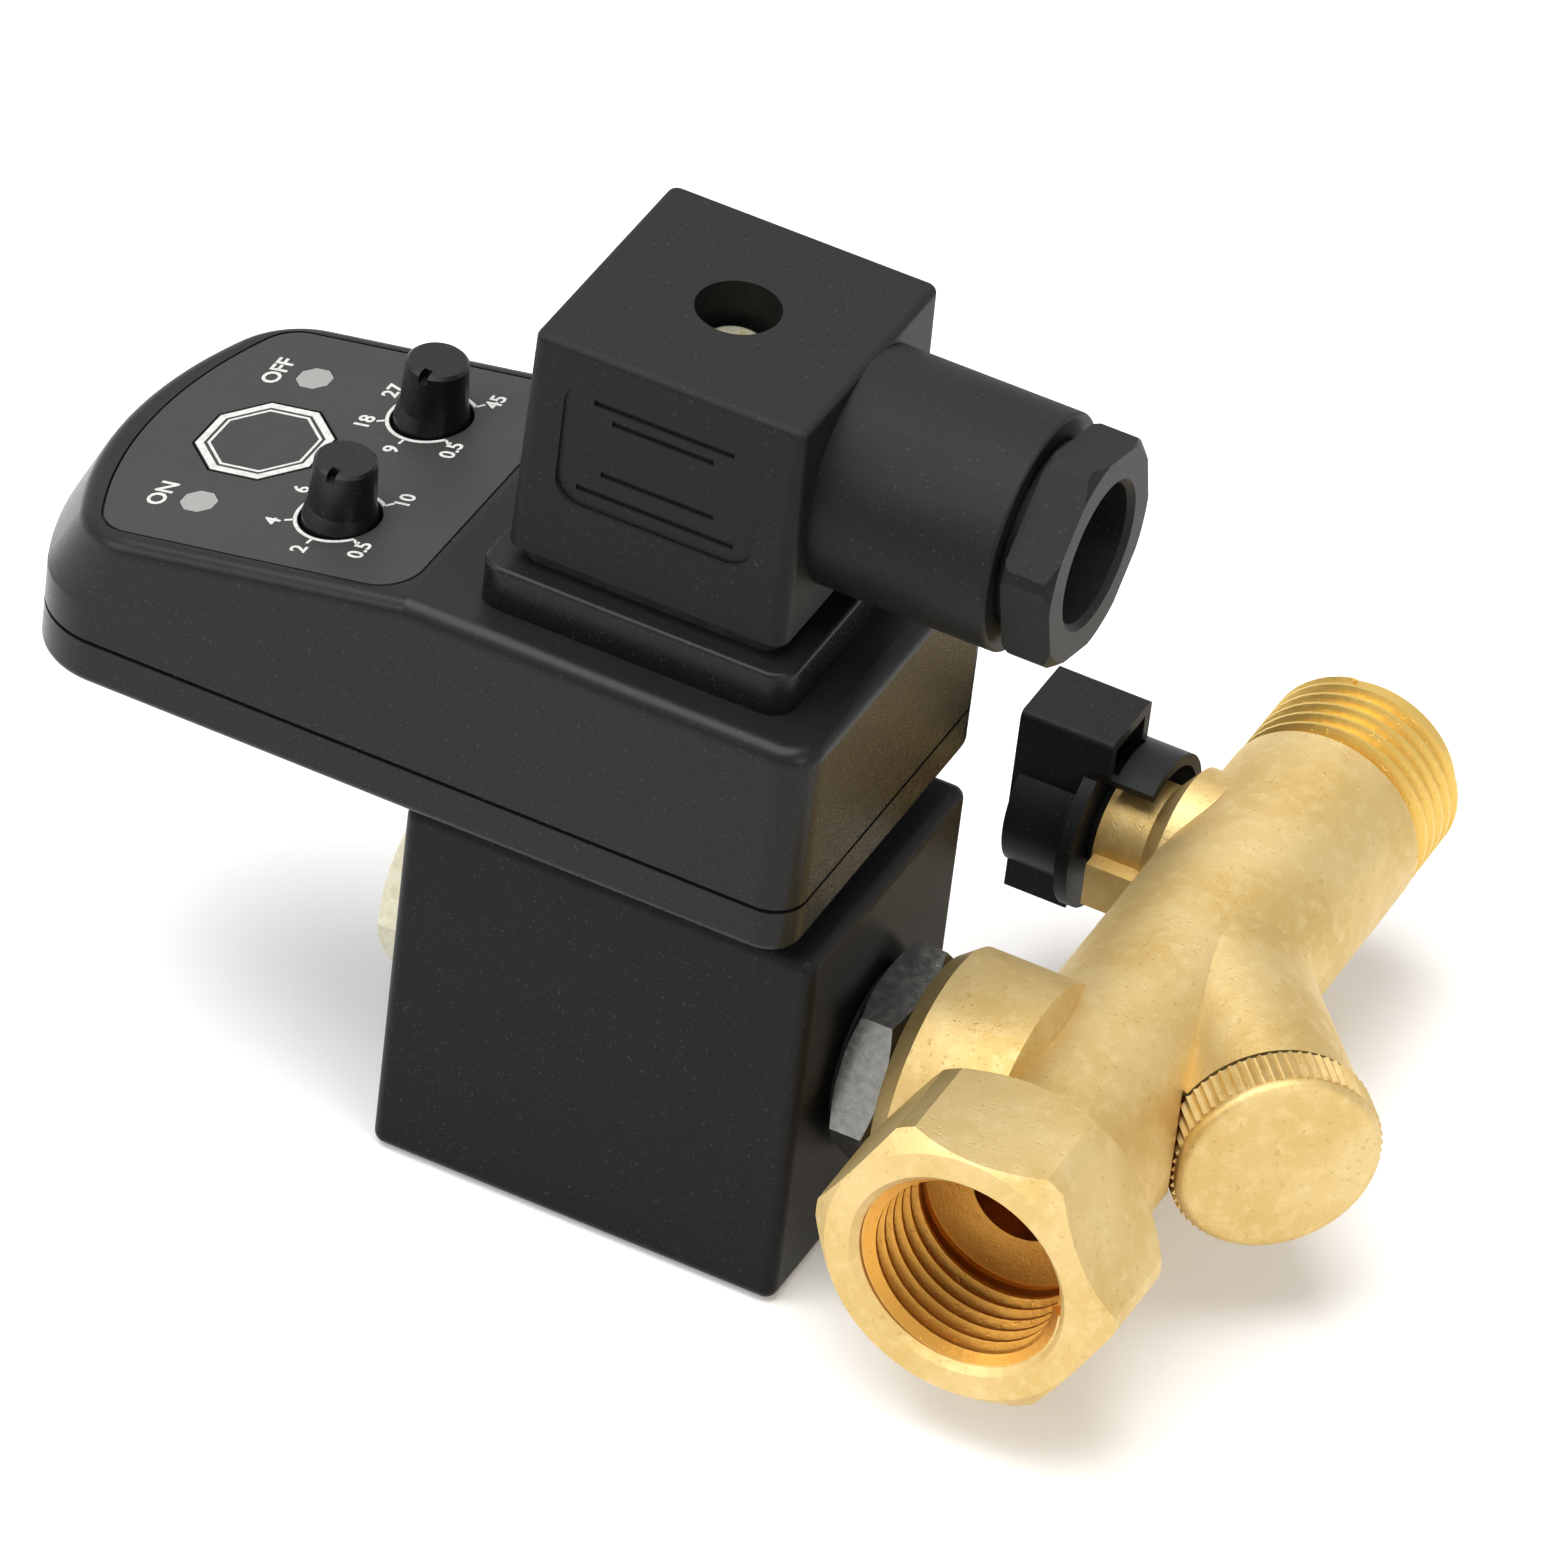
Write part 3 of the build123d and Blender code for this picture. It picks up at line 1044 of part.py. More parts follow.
def plug_screw():
    seat = PLUG_TOP_Z - PLUG_HOLE_DEPTH
    head = upright(CENTRE_SCREW_HEAD_R, PLUG_X, SOLENOID_Y, seat, seat + CENTRE_SCREW_HEAD)
    head = fillet(head.edges().group_by(Axis.Z)[-1], 0.5)
    shank = upright(CENTRE_SCREW_R, PLUG_X, SOLENOID_Y, CENTRE_SCREW_END_Z, seat)
    cross = Pos(PLUG_X, SOLENOID_Y, seat + CENTRE_SCREW_HEAD)
    slot = cross * Box(4.2, CENTRE_SCREW_SLOT, 2) + cross * Box(CENTRE_SCREW_SLOT, 4.2, 2)
    return head + shank - slot


# ---- cable gland -----------------------------------------------------------------------------------------------------
def gland_nut():
    start, end = GLAND_NUT_S, GLAND_NUT_S + GLAND_NUT_LENGTH
    head = prism(GLAND, GLAND_NUT_FLATS, 6, start, end, GLAND_NUT_TURN)
    head &= turned(GLAND, [
        (start, GLAND_NUT_CORNER_R - 0.3), (start + 0.5, GLAND_NUT_CORNER_R),
        (end - 0.7, GLAND_NUT_CORNER_R), (end, GLAND_NUT_CORNER_R - 0.9),
    ])
    spigot = disc(GLAND, GLAND_SPIGOT_R, GLAND_END_S - GLAND_SPIGOT_LENGTH, start)
    bore = disc(GLAND, GLAND_NUT_BORE_R, GLAND_END_S - GLAND_SPIGOT_LENGTH - 1, end + 1)
    mouth = turned(GLAND, [(end - 0.6, GLAND_NUT_BORE_R), (end + 0.1, GLAND_NUT_BORE_R + 0.7)])
    return head + spigot - bore - mouth


def gland_washer():
    end = GLAND_END_S - GLAND_SPIGOT_LENGTH
    return ring(GLAND, GLAND_SPIGOT_R, GLAND_WASHER_BORE_R, end - GLAND_WASHER, end)


def gland_grommet():
    end = GLAND_END_S - GLAND_SPIGOT_LENGTH - GLAND_WASHER
    start = end - GROMMET_LENGTH
    body = turned(GLAND, [
        (start, GLAND_SPIGOT_R - 1.2), (start + 1.2, GLAND_SPIGOT_R), (end, GLAND_SPIGOT_R),
    ])
    return body - disc(GLAND, GROMMET_HOLE_R, start - 1, end + 1)


# ---- write every node ----------------------------------------------------------------------------------------------------
os.makedirs("parts", exist_ok=True)

BACK_DIAL_Y, FRONT_DIAL_Y = dial_places()
NODES = {
    "valve_body": valve_body,
    "valve_ball": valve_ball,
    "ball_seats": ball_seats,
    "ball_retainer": ball_retainer,
    "valve_stem": valve_stem,
    "stem_seal": stem_seal,
    "valve_lever": valve_lever,
    "lever_screw": lever_screw,
    "strainer_screen": strainer_screen,
    "strainer_cap": strainer_cap,
    "strainer_cap_seal": strainer_cap_seal,
    "armature_tube": armature_tube,
    "tube_seal": tube_seal,
    "fixed_core": fixed_core,
    "plunger": plunger,
    "plunger_seal": plunger_seal,
    "plunger_spring": plunger_spring,
    "coil_body": coil_body,
    "coil_bobbin": coil_bobbin,
    "coil_winding": coil_winding,
    "coil_yoke": coil_yoke,
    "coil_blades": coil_blades,
    "coil_nut_insert": coil_nut_insert,
    "coil_front_washer": coil_front_washer,
    "coil_washer": coil_washer,
    "coil_nut": coil_nut,
    "timer_gasket": timer_gasket,
    "timer_base": timer_base,
    "timer_cover": timer_cover,
    "timer_screws": timer_screws,
    "timer_board": timer_board,
    "timer_sockets": timer_sockets,
    "timer_blades": timer_blades,
    "front_panel": front_panel,
    "off_time_dial": lambda: time_dial(BACK_DIAL_Y),
    "on_time_dial": lambda: time_dial(FRONT_DIAL_Y),
    "off_time_pot": lambda: time_pot(BACK_DIAL_Y),
    "on_time_pot": lambda: time_pot(FRONT_DIAL_Y),
    "test_button": test_button,
    "test_switch": test_switch,
    "status_lenses": status_lenses,
    "status_leds": status_leds,
    "plug_gasket": plug_gasket,
    "plug_housing": plug_housing,
    "plug_insert": plug_insert,
    "plug_contacts": plug_contacts,
    "plug_clamp_screws": plug_clamp_screws,
    "plug_screw": plug_screw,
    "gland_nut": gland_nut,
    "gland_washer": gland_washer,
    "gland_grommet": gland_grommet,
}

for node, make in NODES.items():
    save(node, make())
    print("wrote", node)
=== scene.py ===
# %% [markdown]
# # An automatic drain valve
# The valve has a sand-blasted brass body, a black solenoid coil, a timer in a moulded housing and a
# cable plug on top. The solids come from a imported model. This lesson gives them their finishes and adds
# what is too fine for the solids: threads, a knurl, printed scales and the light.

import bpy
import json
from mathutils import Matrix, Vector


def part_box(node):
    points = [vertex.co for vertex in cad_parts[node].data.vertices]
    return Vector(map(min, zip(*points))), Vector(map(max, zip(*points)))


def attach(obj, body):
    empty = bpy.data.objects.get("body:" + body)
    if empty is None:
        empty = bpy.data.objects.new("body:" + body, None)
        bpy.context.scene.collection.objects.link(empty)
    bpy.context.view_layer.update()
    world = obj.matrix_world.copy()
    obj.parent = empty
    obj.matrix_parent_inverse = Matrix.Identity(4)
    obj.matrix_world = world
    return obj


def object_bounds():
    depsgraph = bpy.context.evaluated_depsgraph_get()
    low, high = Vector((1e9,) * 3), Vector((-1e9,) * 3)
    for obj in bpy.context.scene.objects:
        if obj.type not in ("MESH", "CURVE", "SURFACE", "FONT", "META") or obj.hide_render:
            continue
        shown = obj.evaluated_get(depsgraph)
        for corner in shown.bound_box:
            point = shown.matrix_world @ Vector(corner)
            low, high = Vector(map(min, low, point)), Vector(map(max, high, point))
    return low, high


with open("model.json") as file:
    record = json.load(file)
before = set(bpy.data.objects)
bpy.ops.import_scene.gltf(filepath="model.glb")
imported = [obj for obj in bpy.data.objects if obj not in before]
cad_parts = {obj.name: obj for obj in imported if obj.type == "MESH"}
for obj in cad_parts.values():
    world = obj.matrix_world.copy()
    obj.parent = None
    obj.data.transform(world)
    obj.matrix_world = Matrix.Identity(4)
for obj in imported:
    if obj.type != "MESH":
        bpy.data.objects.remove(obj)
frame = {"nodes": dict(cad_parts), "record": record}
size_of_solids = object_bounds()

# %% [markdown]
# Blender works in metres, but a valve is easier to think of in millimetres. One constant converts.
# The record that comes with the model says how wide the two ports are, so the threads can be built
# from it and always fit. The shoulder is the place on the pipe where the inlet's thread begins.

# %% Measures from the record
import json
from math import cos, pi, radians, sin
import bmesh
import bpy
from mathutils import Matrix, Vector

MM = 0.001
mounts = {mount["name"]: mount for mount in frame["record"]["mounts"]}
inlet_core = mounts["inlet"]["dims"]["r_mm"]
outlet_root = mounts["outlet"]["dims"]["r_mm"]
print("inlet core", inlet_core, "mm, outlet root", outlet_root, "mm")


def corners(node):
    """Lowest and highest corner of a solid, in millimetres."""
    low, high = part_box(node)
    return low / MM, high / MM


pipe_low, pipe_high = corners("valve_body")
THREAD_LENGTH = 12.0
shoulder = pipe_high.y - THREAD_LENGTH
panel_low, panel_high = corners("front_panel")
print("pipe from y", round(pipe_low.y, 1), "to", round(pipe_high.y, 1), "mm")

# %% [markdown]
# ## The camera
# A long lens far away keeps parallel edges nearly parallel, as in a catalogue. Three directions turn
# the camera: where it stands around the part, how high, and a small roll. They give its axes by cross
# products, and a matrix made of those axes places it.

# %% Camera
AIM = Vector((-24.47, 0.47, 48.79)) * MM
AZIMUTH = radians(22.32)
ELEVATION = radians(38.51)
ROLL = radians(7.21)
DISTANCE = 1243.5 * MM
LENS = 314.4

towards_camera = Vector((sin(AZIMUTH) * cos(ELEVATION), -cos(AZIMUTH) * cos(ELEVATION), sin(ELEVATION)))
level_right = Vector((0, 0, 1)).cross(towards_camera).normalized()
level_up = towards_camera.cross(level_right)
camera_right = cos(ROLL) * level_right + sin(ROLL) * level_up
camera_up = towards_camera.cross(camera_right)

camera = bpy.data.objects.new("camera", bpy.data.cameras.new("camera"))
camera.data.lens = LENS
camera.data.sensor_width = 36
camera.data.clip_end = 20
camera.matrix_world = Matrix((camera_right, camera_up, towards_camera)).transposed().to_4x4()
camera.location = AIM + towards_camera * DISTANCE
bpy.context.scene.collection.objects.link(camera)
bpy.context.scene.camera = camera
bpy.context.scene.view_settings.view_transform = "Standard"
print("camera at", [round(v, 3) for v in camera.location])

# %% [markdown]
# ## A small language for shaders
# A finish is a sum of masks and noises, which is easier to read as sums than as boxes and wires.
# The class `Value` wraps one socket, and Python's own operators add Math nodes to its tree. Numbers
# may stand on either side, so the reflected operators are there too.

# %% Values that can be added and multiplied
class Value:
    """One output of a shader node that takes part in Python expressions."""

    def __init__(self, tree, socket):
        self.tree = tree
        self.socket = socket

    def math(self, operation, *values):
        node = self.tree.nodes.new("ShaderNodeMath")
        node.operation = operation
        for place, value in enumerate(values):
            if isinstance(value, Value):
                self.tree.links.new(value.socket, node.inputs[place])
            else:
                node.inputs[place].default_value = value
        return Value(self.tree, node.outputs[0])

    def __add__(self, other):
        return self.math("ADD", self, other)

    def __radd__(self, other):
        return self.math("ADD", other, self)

    def __sub__(self, other):
        return self.math("SUBTRACT", self, other)

    def __rsub__(self, other):
        return self.math("SUBTRACT", other, self)

    def __mul__(self, other):
        return self.math("MULTIPLY", self, other)

    def __rmul__(self, other):
        return self.math("MULTIPLY", other, self)

    def __pow__(self, other):
        return self.math("POWER", self, other)

    def sine(self):
        return self.math("SINE", self)

    def maximum(self, other):
        return self.math("MAXIMUM", self, other)

    def step(self, low, high):
        """0 below low, 1 above high and a smooth rise between them."""
        node = self.tree.nodes.new("ShaderNodeMapRange")
        node.interpolation_type = "SMOOTHSTEP"
        self.tree.links.new(self.socket, node.inputs["Value"])
        node.inputs["From Min"].default_value = low
        node.inputs["From Max"].default_value = high
        return Value(self.tree, node.outputs["Result"])


print("values know + - * ** and three functions")

# %% [markdown]
# Everything that isn't plain arithmetic, such as a noise or a bump, comes from one method of `Finish`.
# It takes the type of node, its settings and what goes into its sockets. The finish starts with a
# Principled shader and with the place on the part in millimetres, read from Object coordinates, so a
# grain keeps its size on every piece.

# %% A finish and its nodes
class Finish:
    """A material under construction, with the place on the part at hand in millimetres."""

    def __init__(self, name, **plain):
        self.material = bpy.data.materials.new(name)
        self.material.use_nodes = True
        self.tree = self.material.node_tree
        self.tree.nodes.clear()
        self.shader = self.tree.nodes.new("ShaderNodeBsdfPrincipled")
        output = self.tree.nodes.new("ShaderNodeOutputMaterial")
        self.tree.links.new(self.shader.outputs[0], output.inputs[0])
        for socket, number in plain.items():
            self.shader.inputs[socket.replace("_", " ")].default_value = number
        place = self.add("ShaderNodeTexCoord", output="Object")
        self.place = self.add("ShaderNodeVectorMath", {"operation": "SCALE"},
                              {"Vector": place, "Scale": 1 / MM}, "Vector")

    def add(self, kind, settings=None, sockets=None, output=0):
        """One node: its type, its settings, then the values or links of its sockets."""
        node = self.tree.nodes.new(kind)
        for name, setting in (settings or {}).items():
            setattr(node, name, setting)
        for name, value in (sockets or {}).items():
            if isinstance(value, Value):
                self.tree.links.new(value.socket, node.inputs[name])
            else:
                node.inputs[name].default_value = value
        return Value(self.tree, node.outputs[output])

    def noise(self, scale, detail=3.0, roughness=0.5, place=None):
        """Noise around 0.5, with scale in waves per millimetre."""
        return self.add("ShaderNodeTexNoise", None, {
            "Vector": place or self.place, "Scale": scale, "Detail": detail, "Roughness": roughness,
        }, "Fac")

    def axes(self):
        """The three parts of the place as values."""
        return [self.add("ShaderNodeSeparateXYZ", None, {"Vector": self.place}, axis) for axis in "XYZ"]

    def mix(self, factor, first, second):
        """Colour between first and second."""
        return self.add("ShaderNodeMix", {"data_type": "RGBA"}, {0: factor, 6: first, 7: second}, 2)

    def feed(self, socket, value):
        self.tree.links.new(value.socket, self.shader.inputs[socket])

    def bump(self, height, strength=1.0):
        """Relief, with height in millimetres."""
        sockets = {"Height": height, "Distance": MM, "Strength": strength}
        self.feed("Normal", self.add("ShaderNodeBump", None, sockets, "Normal"))


def colour(red, green, blue):
    """A colour as a screen shows it, 0 to 255, turned into the linear values that shaders use."""
    def linear(part):
        part /= 255
        return part / 12.92 if part <= 0.04045 else ((part + 0.055) / 1.055) ** 2.4
    return (linear(red), linear(green), linear(blue), 1.0)


print("a finish starts with", len(Finish("trial").tree.nodes), "nodes")
bpy.data.materials.remove(bpy.data.materials["trial"])

# %% [markdown]
# ## Brass, in two finishes
# The casting is sand-blasted: thousands of tiny dents that scatter light, so it looks pale and soft.
# Two sizes of noise make the dents. A slow noise makes the tint wander, as oxide does. Deep in the
# bores the colour is a painted shade, darker and browner, and the metal is a little smoother there; one
# mask follows the distance from the pipe's axis. The inlet's thread is cut after blasting, so past the
# shoulder a second mask makes the metal yellower and smoother.

# %% Cast brass
OUTLET_BORE_END = 30.0
INLET_BORE_START = 60.0


def bore_mask(finish):
    """1 on the walls of the two ports and 0 on the outside of the pipe."""
    x, y, z = finish.axes()
    radius = (x * x + z * z) ** 0.5
    in_outlet = 1 - radius.step(outlet_root - 0.2, outlet_root + 0.15)
    outlet_bore = in_outlet * (1 - y.step(OUTLET_BORE_END, OUTLET_BORE_END + 1))
    in_inlet = 1 - radius.step(inlet_core - 1.0, inlet_core - 0.9)
    inlet_bore = in_inlet * y.step(INLET_BORE_START, INLET_BORE_START + 1)
    return outlet_bore.maximum(inlet_bore)


def cast_brass():
    finish = Finish("cast_brass", Metallic=0.93, Specular_IOR_Level=0.5)
    along_pipe = finish.axes()[1]
    cut = along_pipe.step(shoulder - 0.15, shoulder + 0.05)
    slow = finish.noise(0.09, 2)
    patches = finish.noise(0.6, 4, 0.6)
    grain = finish.noise(4.5, 4, 0.65)
    pits = finish.noise(1.6, 2).step(0.36, 0.3)
    bores = bore_mask(finish)
    pale = finish.mix(slow.step(0.35, 0.65), colour(215, 190, 134), colour(205, 176, 112))
    worn = finish.mix(patches.step(0.45, 0.75) * 0.5, pale, colour(226, 205, 154))
    specked = finish.mix(pits * 0.25, worn, colour(160, 128, 70))
    threaded = finish.mix(cut, specked, colour(226, 190, 104))
    # painted shade: the bore walls are mixed towards a darker, browner colour
    finish.feed("Base Color", finish.mix(bores, threaded, colour(204, 148, 66)))
    finish.feed("Roughness", (0.46 + 0.16 * grain) - bores * 0.2 - cut * 0.18)
    finish.bump(grain * 0.05 + patches * 0.06 - pits * 0.03, 0.7)
    return finish.material


brass_casting = cast_brass()
print("made", brass_casting.name)

# %% [markdown]
# The stem and the rings inside the valve are cut on a lathe. Turned brass is yellower and smoother
# than a casting, with fine rings round its axis. Noise that is read only along that axis gives such
# rings, whatever the size of the piece. The ball and the contacts get the same finish in nickel.

# %% Turned brass
def turned_brass(name, tint, dark, roughness):
    finish = Finish(name, Metallic=1.0)
    line = finish.add("ShaderNodeCombineXYZ", None, {"X": finish.axes()[1]})
    rings = finish.noise(5.0, 3, 0.7, line)
    stains = finish.noise(0.5, 3)
    finish.feed("Base Color", finish.mix(stains.step(0.35, 0.75), tint, dark))
    finish.feed("Roughness", roughness + 0.12 * stains)
    finish.bump(rings * 0.012 + stains * 0.01, 0.6)
    return finish.material


machined_brass = turned_brass("machined_brass", colour(228, 186, 104), colour(204, 156, 74), 0.24)
plated_brass = turned_brass("plated_brass", colour(206, 202, 190), colour(184, 180, 168), 0.2)
print("made", machined_brass.name, "and", plated_brass.name)

# %% [markdown]
# ## Steel
# The hexagon beside the coil is free-cutting steel, milled and lightly oiled. The plug's screw is
# zinc plated with a pale yellow passivation, which clouds the surface, and the coil's nut has the
# same cloudy cream look.

# %% Steel and zinc
def plain_steel():
    finish = Finish("steel", Metallic=1.0)
    marks = finish.noise(1.2, 4, 0.6)
    scratches = finish.noise(6.0, 2)
    finish.feed("Base Color", finish.mix(marks, colour(104, 102, 98), colour(176, 175, 170)))
    finish.feed("Roughness", 0.14 + 0.18 * marks)
    finish.bump(scratches * 0.012 + marks * 0.01, 0.5)
    return finish.material


def zinc_plate():
    finish = Finish("plated_steel", Metallic=0.75)
    clouds = finish.noise(0.9, 4, 0.6)
    spangle = finish.noise(3.5, 3)
    tint = finish.mix(clouds.step(0.3, 0.7), colour(232, 228, 204), colour(212, 206, 176))
    finish.feed("Base Color", tint)
    finish.feed("Roughness", 0.28 + 0.16 * spangle)
    finish.bump(spangle * 0.015, 0.5)
    return finish.material


steel = plain_steel()
zinc = zinc_plate()
print("made", steel.name, "and", zinc.name)

# %% [markdown]
# ## Black plastics
# Six black plastics meet here and none is quite like the next. The coil is a glass-filled potting
# resin, the timer a satin moulding, the panel a printed foil, the dials shine a little, and the lever
# and the plug are coarse. One function makes them all, and the paler plastics too, from a tint, a
# roughness, a grain and a shine. It lightens what faces up, partly as faint dust and partly as painted
# light from above, and adds a slow change of tint.

# %% A family of moulded plastics
FLOW = 0.12
SPECK = colour(120, 118, 112)


def moulded(name, tint, roughness, grain_scale, grain_height, dust_and_top_light_amount=0.8, shine=0.12):
    finish = Finish(name, IOR=1.49, Specular_IOR_Level=shine)
    grain = finish.noise(grain_scale, 3, 0.6)
    slow = finish.noise(0.12, 3)
    specks = finish.noise(3.2, 1).step(0.68, 0.74)
    lighter = tuple(part * 1.5 + 0.006 for part in tint[:3]) + (1.0,)
    normal = finish.add("ShaderNodeNewGeometry", None, None, "Normal")
    up = finish.add("ShaderNodeSeparateXYZ", None, {"Vector": normal}, "Z")
    # faces that point up get a lighter tint: partly faint dust, partly painted light from above
    dust_and_painted_top_light = up.step(0.2, 1.0) * dust_and_top_light_amount * (0.6 + 0.8 * slow)
    base = finish.mix(dust_and_painted_top_light + slow * FLOW, tint, lighter)
    finish.feed("Base Color", finish.mix(specks * 0.12, base, SPECK))
    finish.feed("Roughness", (roughness + 0.14 * grain) + dust_and_painted_top_light * 0.1)
    finish.bump(grain * grain_height, 0.8)
    return finish.material


plastics = {
    "coil_plastic": moulded("coil_plastic", colour(16, 16, 16), 0.3, 2.6, 0.01),
    "timer_plastic": moulded("timer_plastic", colour(18, 18, 18), 0.2, 3.0, 0.005, 0.7, shine=0.19),
    "panel_foil": moulded("panel_foil", colour(44, 44, 43), 0.45, 5.0, 0.005, 0.2, shine=0.35),
    "dial_plastic": moulded("dial_plastic", colour(9, 9, 9), 0.28, 3.5, 0.004, 0.3, shine=0.35),
    "lever_plastic": moulded("lever_plastic", colour(24, 25, 26), 0.36, 2.2, 0.012, 0.5),
    "plug_plastic": moulded("plug_plastic", colour(22, 22, 21), 0.36, 2.4, 0.012, 1.9),
    "component_plastic": moulded("component_plastic", colour(40, 60, 96), 0.4, 3.0, 0.008),
    "lens_plastic": moulded("lens_plastic", colour(144, 144, 142), 0.42, 4.0, 0.004, 0.0),
    "white_seal": moulded("white_seal", colour(232, 232, 228), 0.4, 2.0, 0.006, 0.0),
}
print("made", len(plastics), "plastics")

# %% [markdown]
# Rubber scatters light at once, without a sharp reflection, and it carries a bloom of wax that greys
# it in patches. The circuit board and the copper winding are out of sight, but they are finished too,
# for anyone who opens the model.

# %% Rubber, copper and circuit board
def rubber():
    finish = Finish("rubber", Specular_IOR_Level=0.3)
    bloom = finish.noise(0.7, 4)
    grain = finish.noise(5.0, 2)
    finish.feed("Base Color", finish.mix(bloom.step(0.4, 0.8), colour(26, 26, 26), colour(44, 44, 43)))
    finish.feed("Roughness", 0.62 + 0.2 * grain)
    finish.bump(grain * 0.01)
    return finish.material


WIRE = 0.45


def copper_winding():
    finish = Finish("copper_wire", Metallic=1.0)
    along_coil = finish.axes()[0]
    turns = (along_coil * (2 * pi / WIRE)).sine()
    finish.feed("Base Color", finish.mix(turns * 0.5 + 0.5, colour(120, 58, 34), colour(196, 112, 70)))
    finish.feed("Roughness", 0.35 + finish.noise(1.0) * 0.1)
    finish.bump(turns * 0.08)
    return finish.material


def circuit_board():
    finish = Finish("circuit_board", IOR=1.5)
    x, y, _ = finish.axes()
    tracks = ((x * 1.6).sine() * (y * 1.9).sine()).step(0.55, 0.62)
    finish.feed("Base Color", finish.mix(tracks, colour(28, 92, 52), colour(60, 128, 74)))
    finish.feed("Roughness", 0.35 + finish.noise(2.0) * 0.15)
    finish.bump(tracks * 0.03)
    return finish.material


finishes = dict(plastics)
finishes.update({
    "cast_brass": brass_casting,
    "machined_brass": machined_brass,
    "plated_brass": plated_brass,
    "steel": steel,
    "plated_steel": zinc,
    "rubber": rubber(),
    "copper_wire": copper_winding(),
    "circuit_board": circuit_board(),
})
print("finishes:", sorted(finishes))

# %% [markdown]
# ## Give every solid its finish
# The record says which material slot each solid has, and the slots have the names of the finishes.
# The strainer cap is blasted like the casting, so it gets the casting's finish.

# %% Dress the solids
for part in frame["record"]["subparts"]:
    solid = frame["nodes"][part["node"]]
    for socket in solid.material_slots:
        socket.material = finishes[part["material_slot"]]
for socket in frame["nodes"]["strainer_cap"].material_slots:
    socket.material = brass_casting

# %% [markdown]
# ## Making pieces with bmesh
# Every new piece is a bmesh that becomes an object at the origin, and then rides on one of the
# model's bodies so that it moves with it. One helper does this last step for all of them.


def piece(name, shape, body, slot):
    """Turn a bmesh into a named, flat-shaded object on a body, in the finish of a slot."""
    bmesh.ops.recalc_face_normals(shape, faces=shape.faces)
    mesh = bpy.data.meshes.new(name)
    shape.to_mesh(mesh)
    shape.free()
    mesh.materials.append(finishes[slot])
    for face in mesh.polygons:
        face.use_smooth = False
    thing = bpy.data.objects.new(name, mesh)
    bpy.context.scene.collection.objects.link(thing)
    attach(thing, body)
    print("piece", name, "with", len(mesh.polygons), "faces")


# %% [markdown]
# ## The two pipe threads
# G 1/2 has fourteen threads to the inch and flanks at 55 degrees. A thread is a small profile that
# is turned about the pipe and moved along at the same time, which is what `spin` does with a step
# vector. The profile starts as one face, which spin leaves as the first cap and carries to the last
# one. Where the thread runs out, its crest sinks back to the root. The outlet's thread is the same
# shape with the crest nearer the axis.

# %% Screw threads
PITCH = 25.4 / 14
THREAD_STEPS = 48
THREAD_HEIGHT = 1.13
THREAD_SUNK = 0.25
HALF_ROOT = 0.47 * PITCH
HALF_CREST = 0.1 * PITCH


def thread(name, root, height, start, end, fade_start, fade_end):
    """A helical ridge about the pipe's axis; a negative height points at the axis."""
    shape = bmesh.new()
    crest = root + height
    turns = (end - start) / PITCH - 1
    sunk = root + (THREAD_SUNK if height < 0 else -THREAD_SUNK)
    profile = [(sunk, -HALF_ROOT), (root, -HALF_ROOT), (crest, -HALF_CREST),
               (crest, HALF_CREST), (root, HALF_ROOT), (sunk, HALF_ROOT)]
    ring = [shape.verts.new((radius, start + PITCH / 2 + shift, 0)) for radius, shift in profile]
    first = shape.faces.new(ring)
    steps = int(turns * THREAD_STEPS)
    bmesh.ops.spin(
        shape, geom=[first], cent=(0, 0, 0), axis=(0, 1, 0), dvec=(0, PITCH / THREAD_STEPS, 0),
        angle=2 * pi * steps / THREAD_STEPS, steps=steps, use_merge=False)
    for corner in shape.verts:
        radius = (corner.co.x ** 2 + corner.co.z ** 2) ** 0.5
        room = min((corner.co.y - start) / fade_start, (end - corner.co.y) / fade_end, 1.0)
        above_root = (radius - root) * height > 0
        wanted = root + (radius - root) * max(room, 0.0) if above_root else radius
        corner.co.x *= wanted / radius
        corner.co.z *= wanted / radius
    bmesh.ops.scale(shape, vec=(MM, MM, MM), verts=shape.verts)
    piece(name, shape, "valve", "cast_brass")


thread("inlet_thread", inlet_core, THREAD_HEIGHT, start=shoulder - 0.3, end=pipe_high.y - 0.1,
       fade_start=0.4, fade_end=1.4)
thread("outlet_thread", outlet_root, -THREAD_HEIGHT, start=0.3, end=THREAD_LENGTH + 0.4,
       fade_start=1.2, fade_end=0.5)

# %% [markdown]
# ## The printed panel
# The foil carries white rings round the dials with six ticks and their times, an octagon round the
# test button and the words for the two lights. Print has almost no thickness, so each mark is a
# flat strip a few hundredths of a millimetre high. All marks are drawn flat, in millimetres, and one
# matrix lays them on the sloping foil. The button's middle is measured on its top face alone, since
# the wider flange below it is set back by the slope.

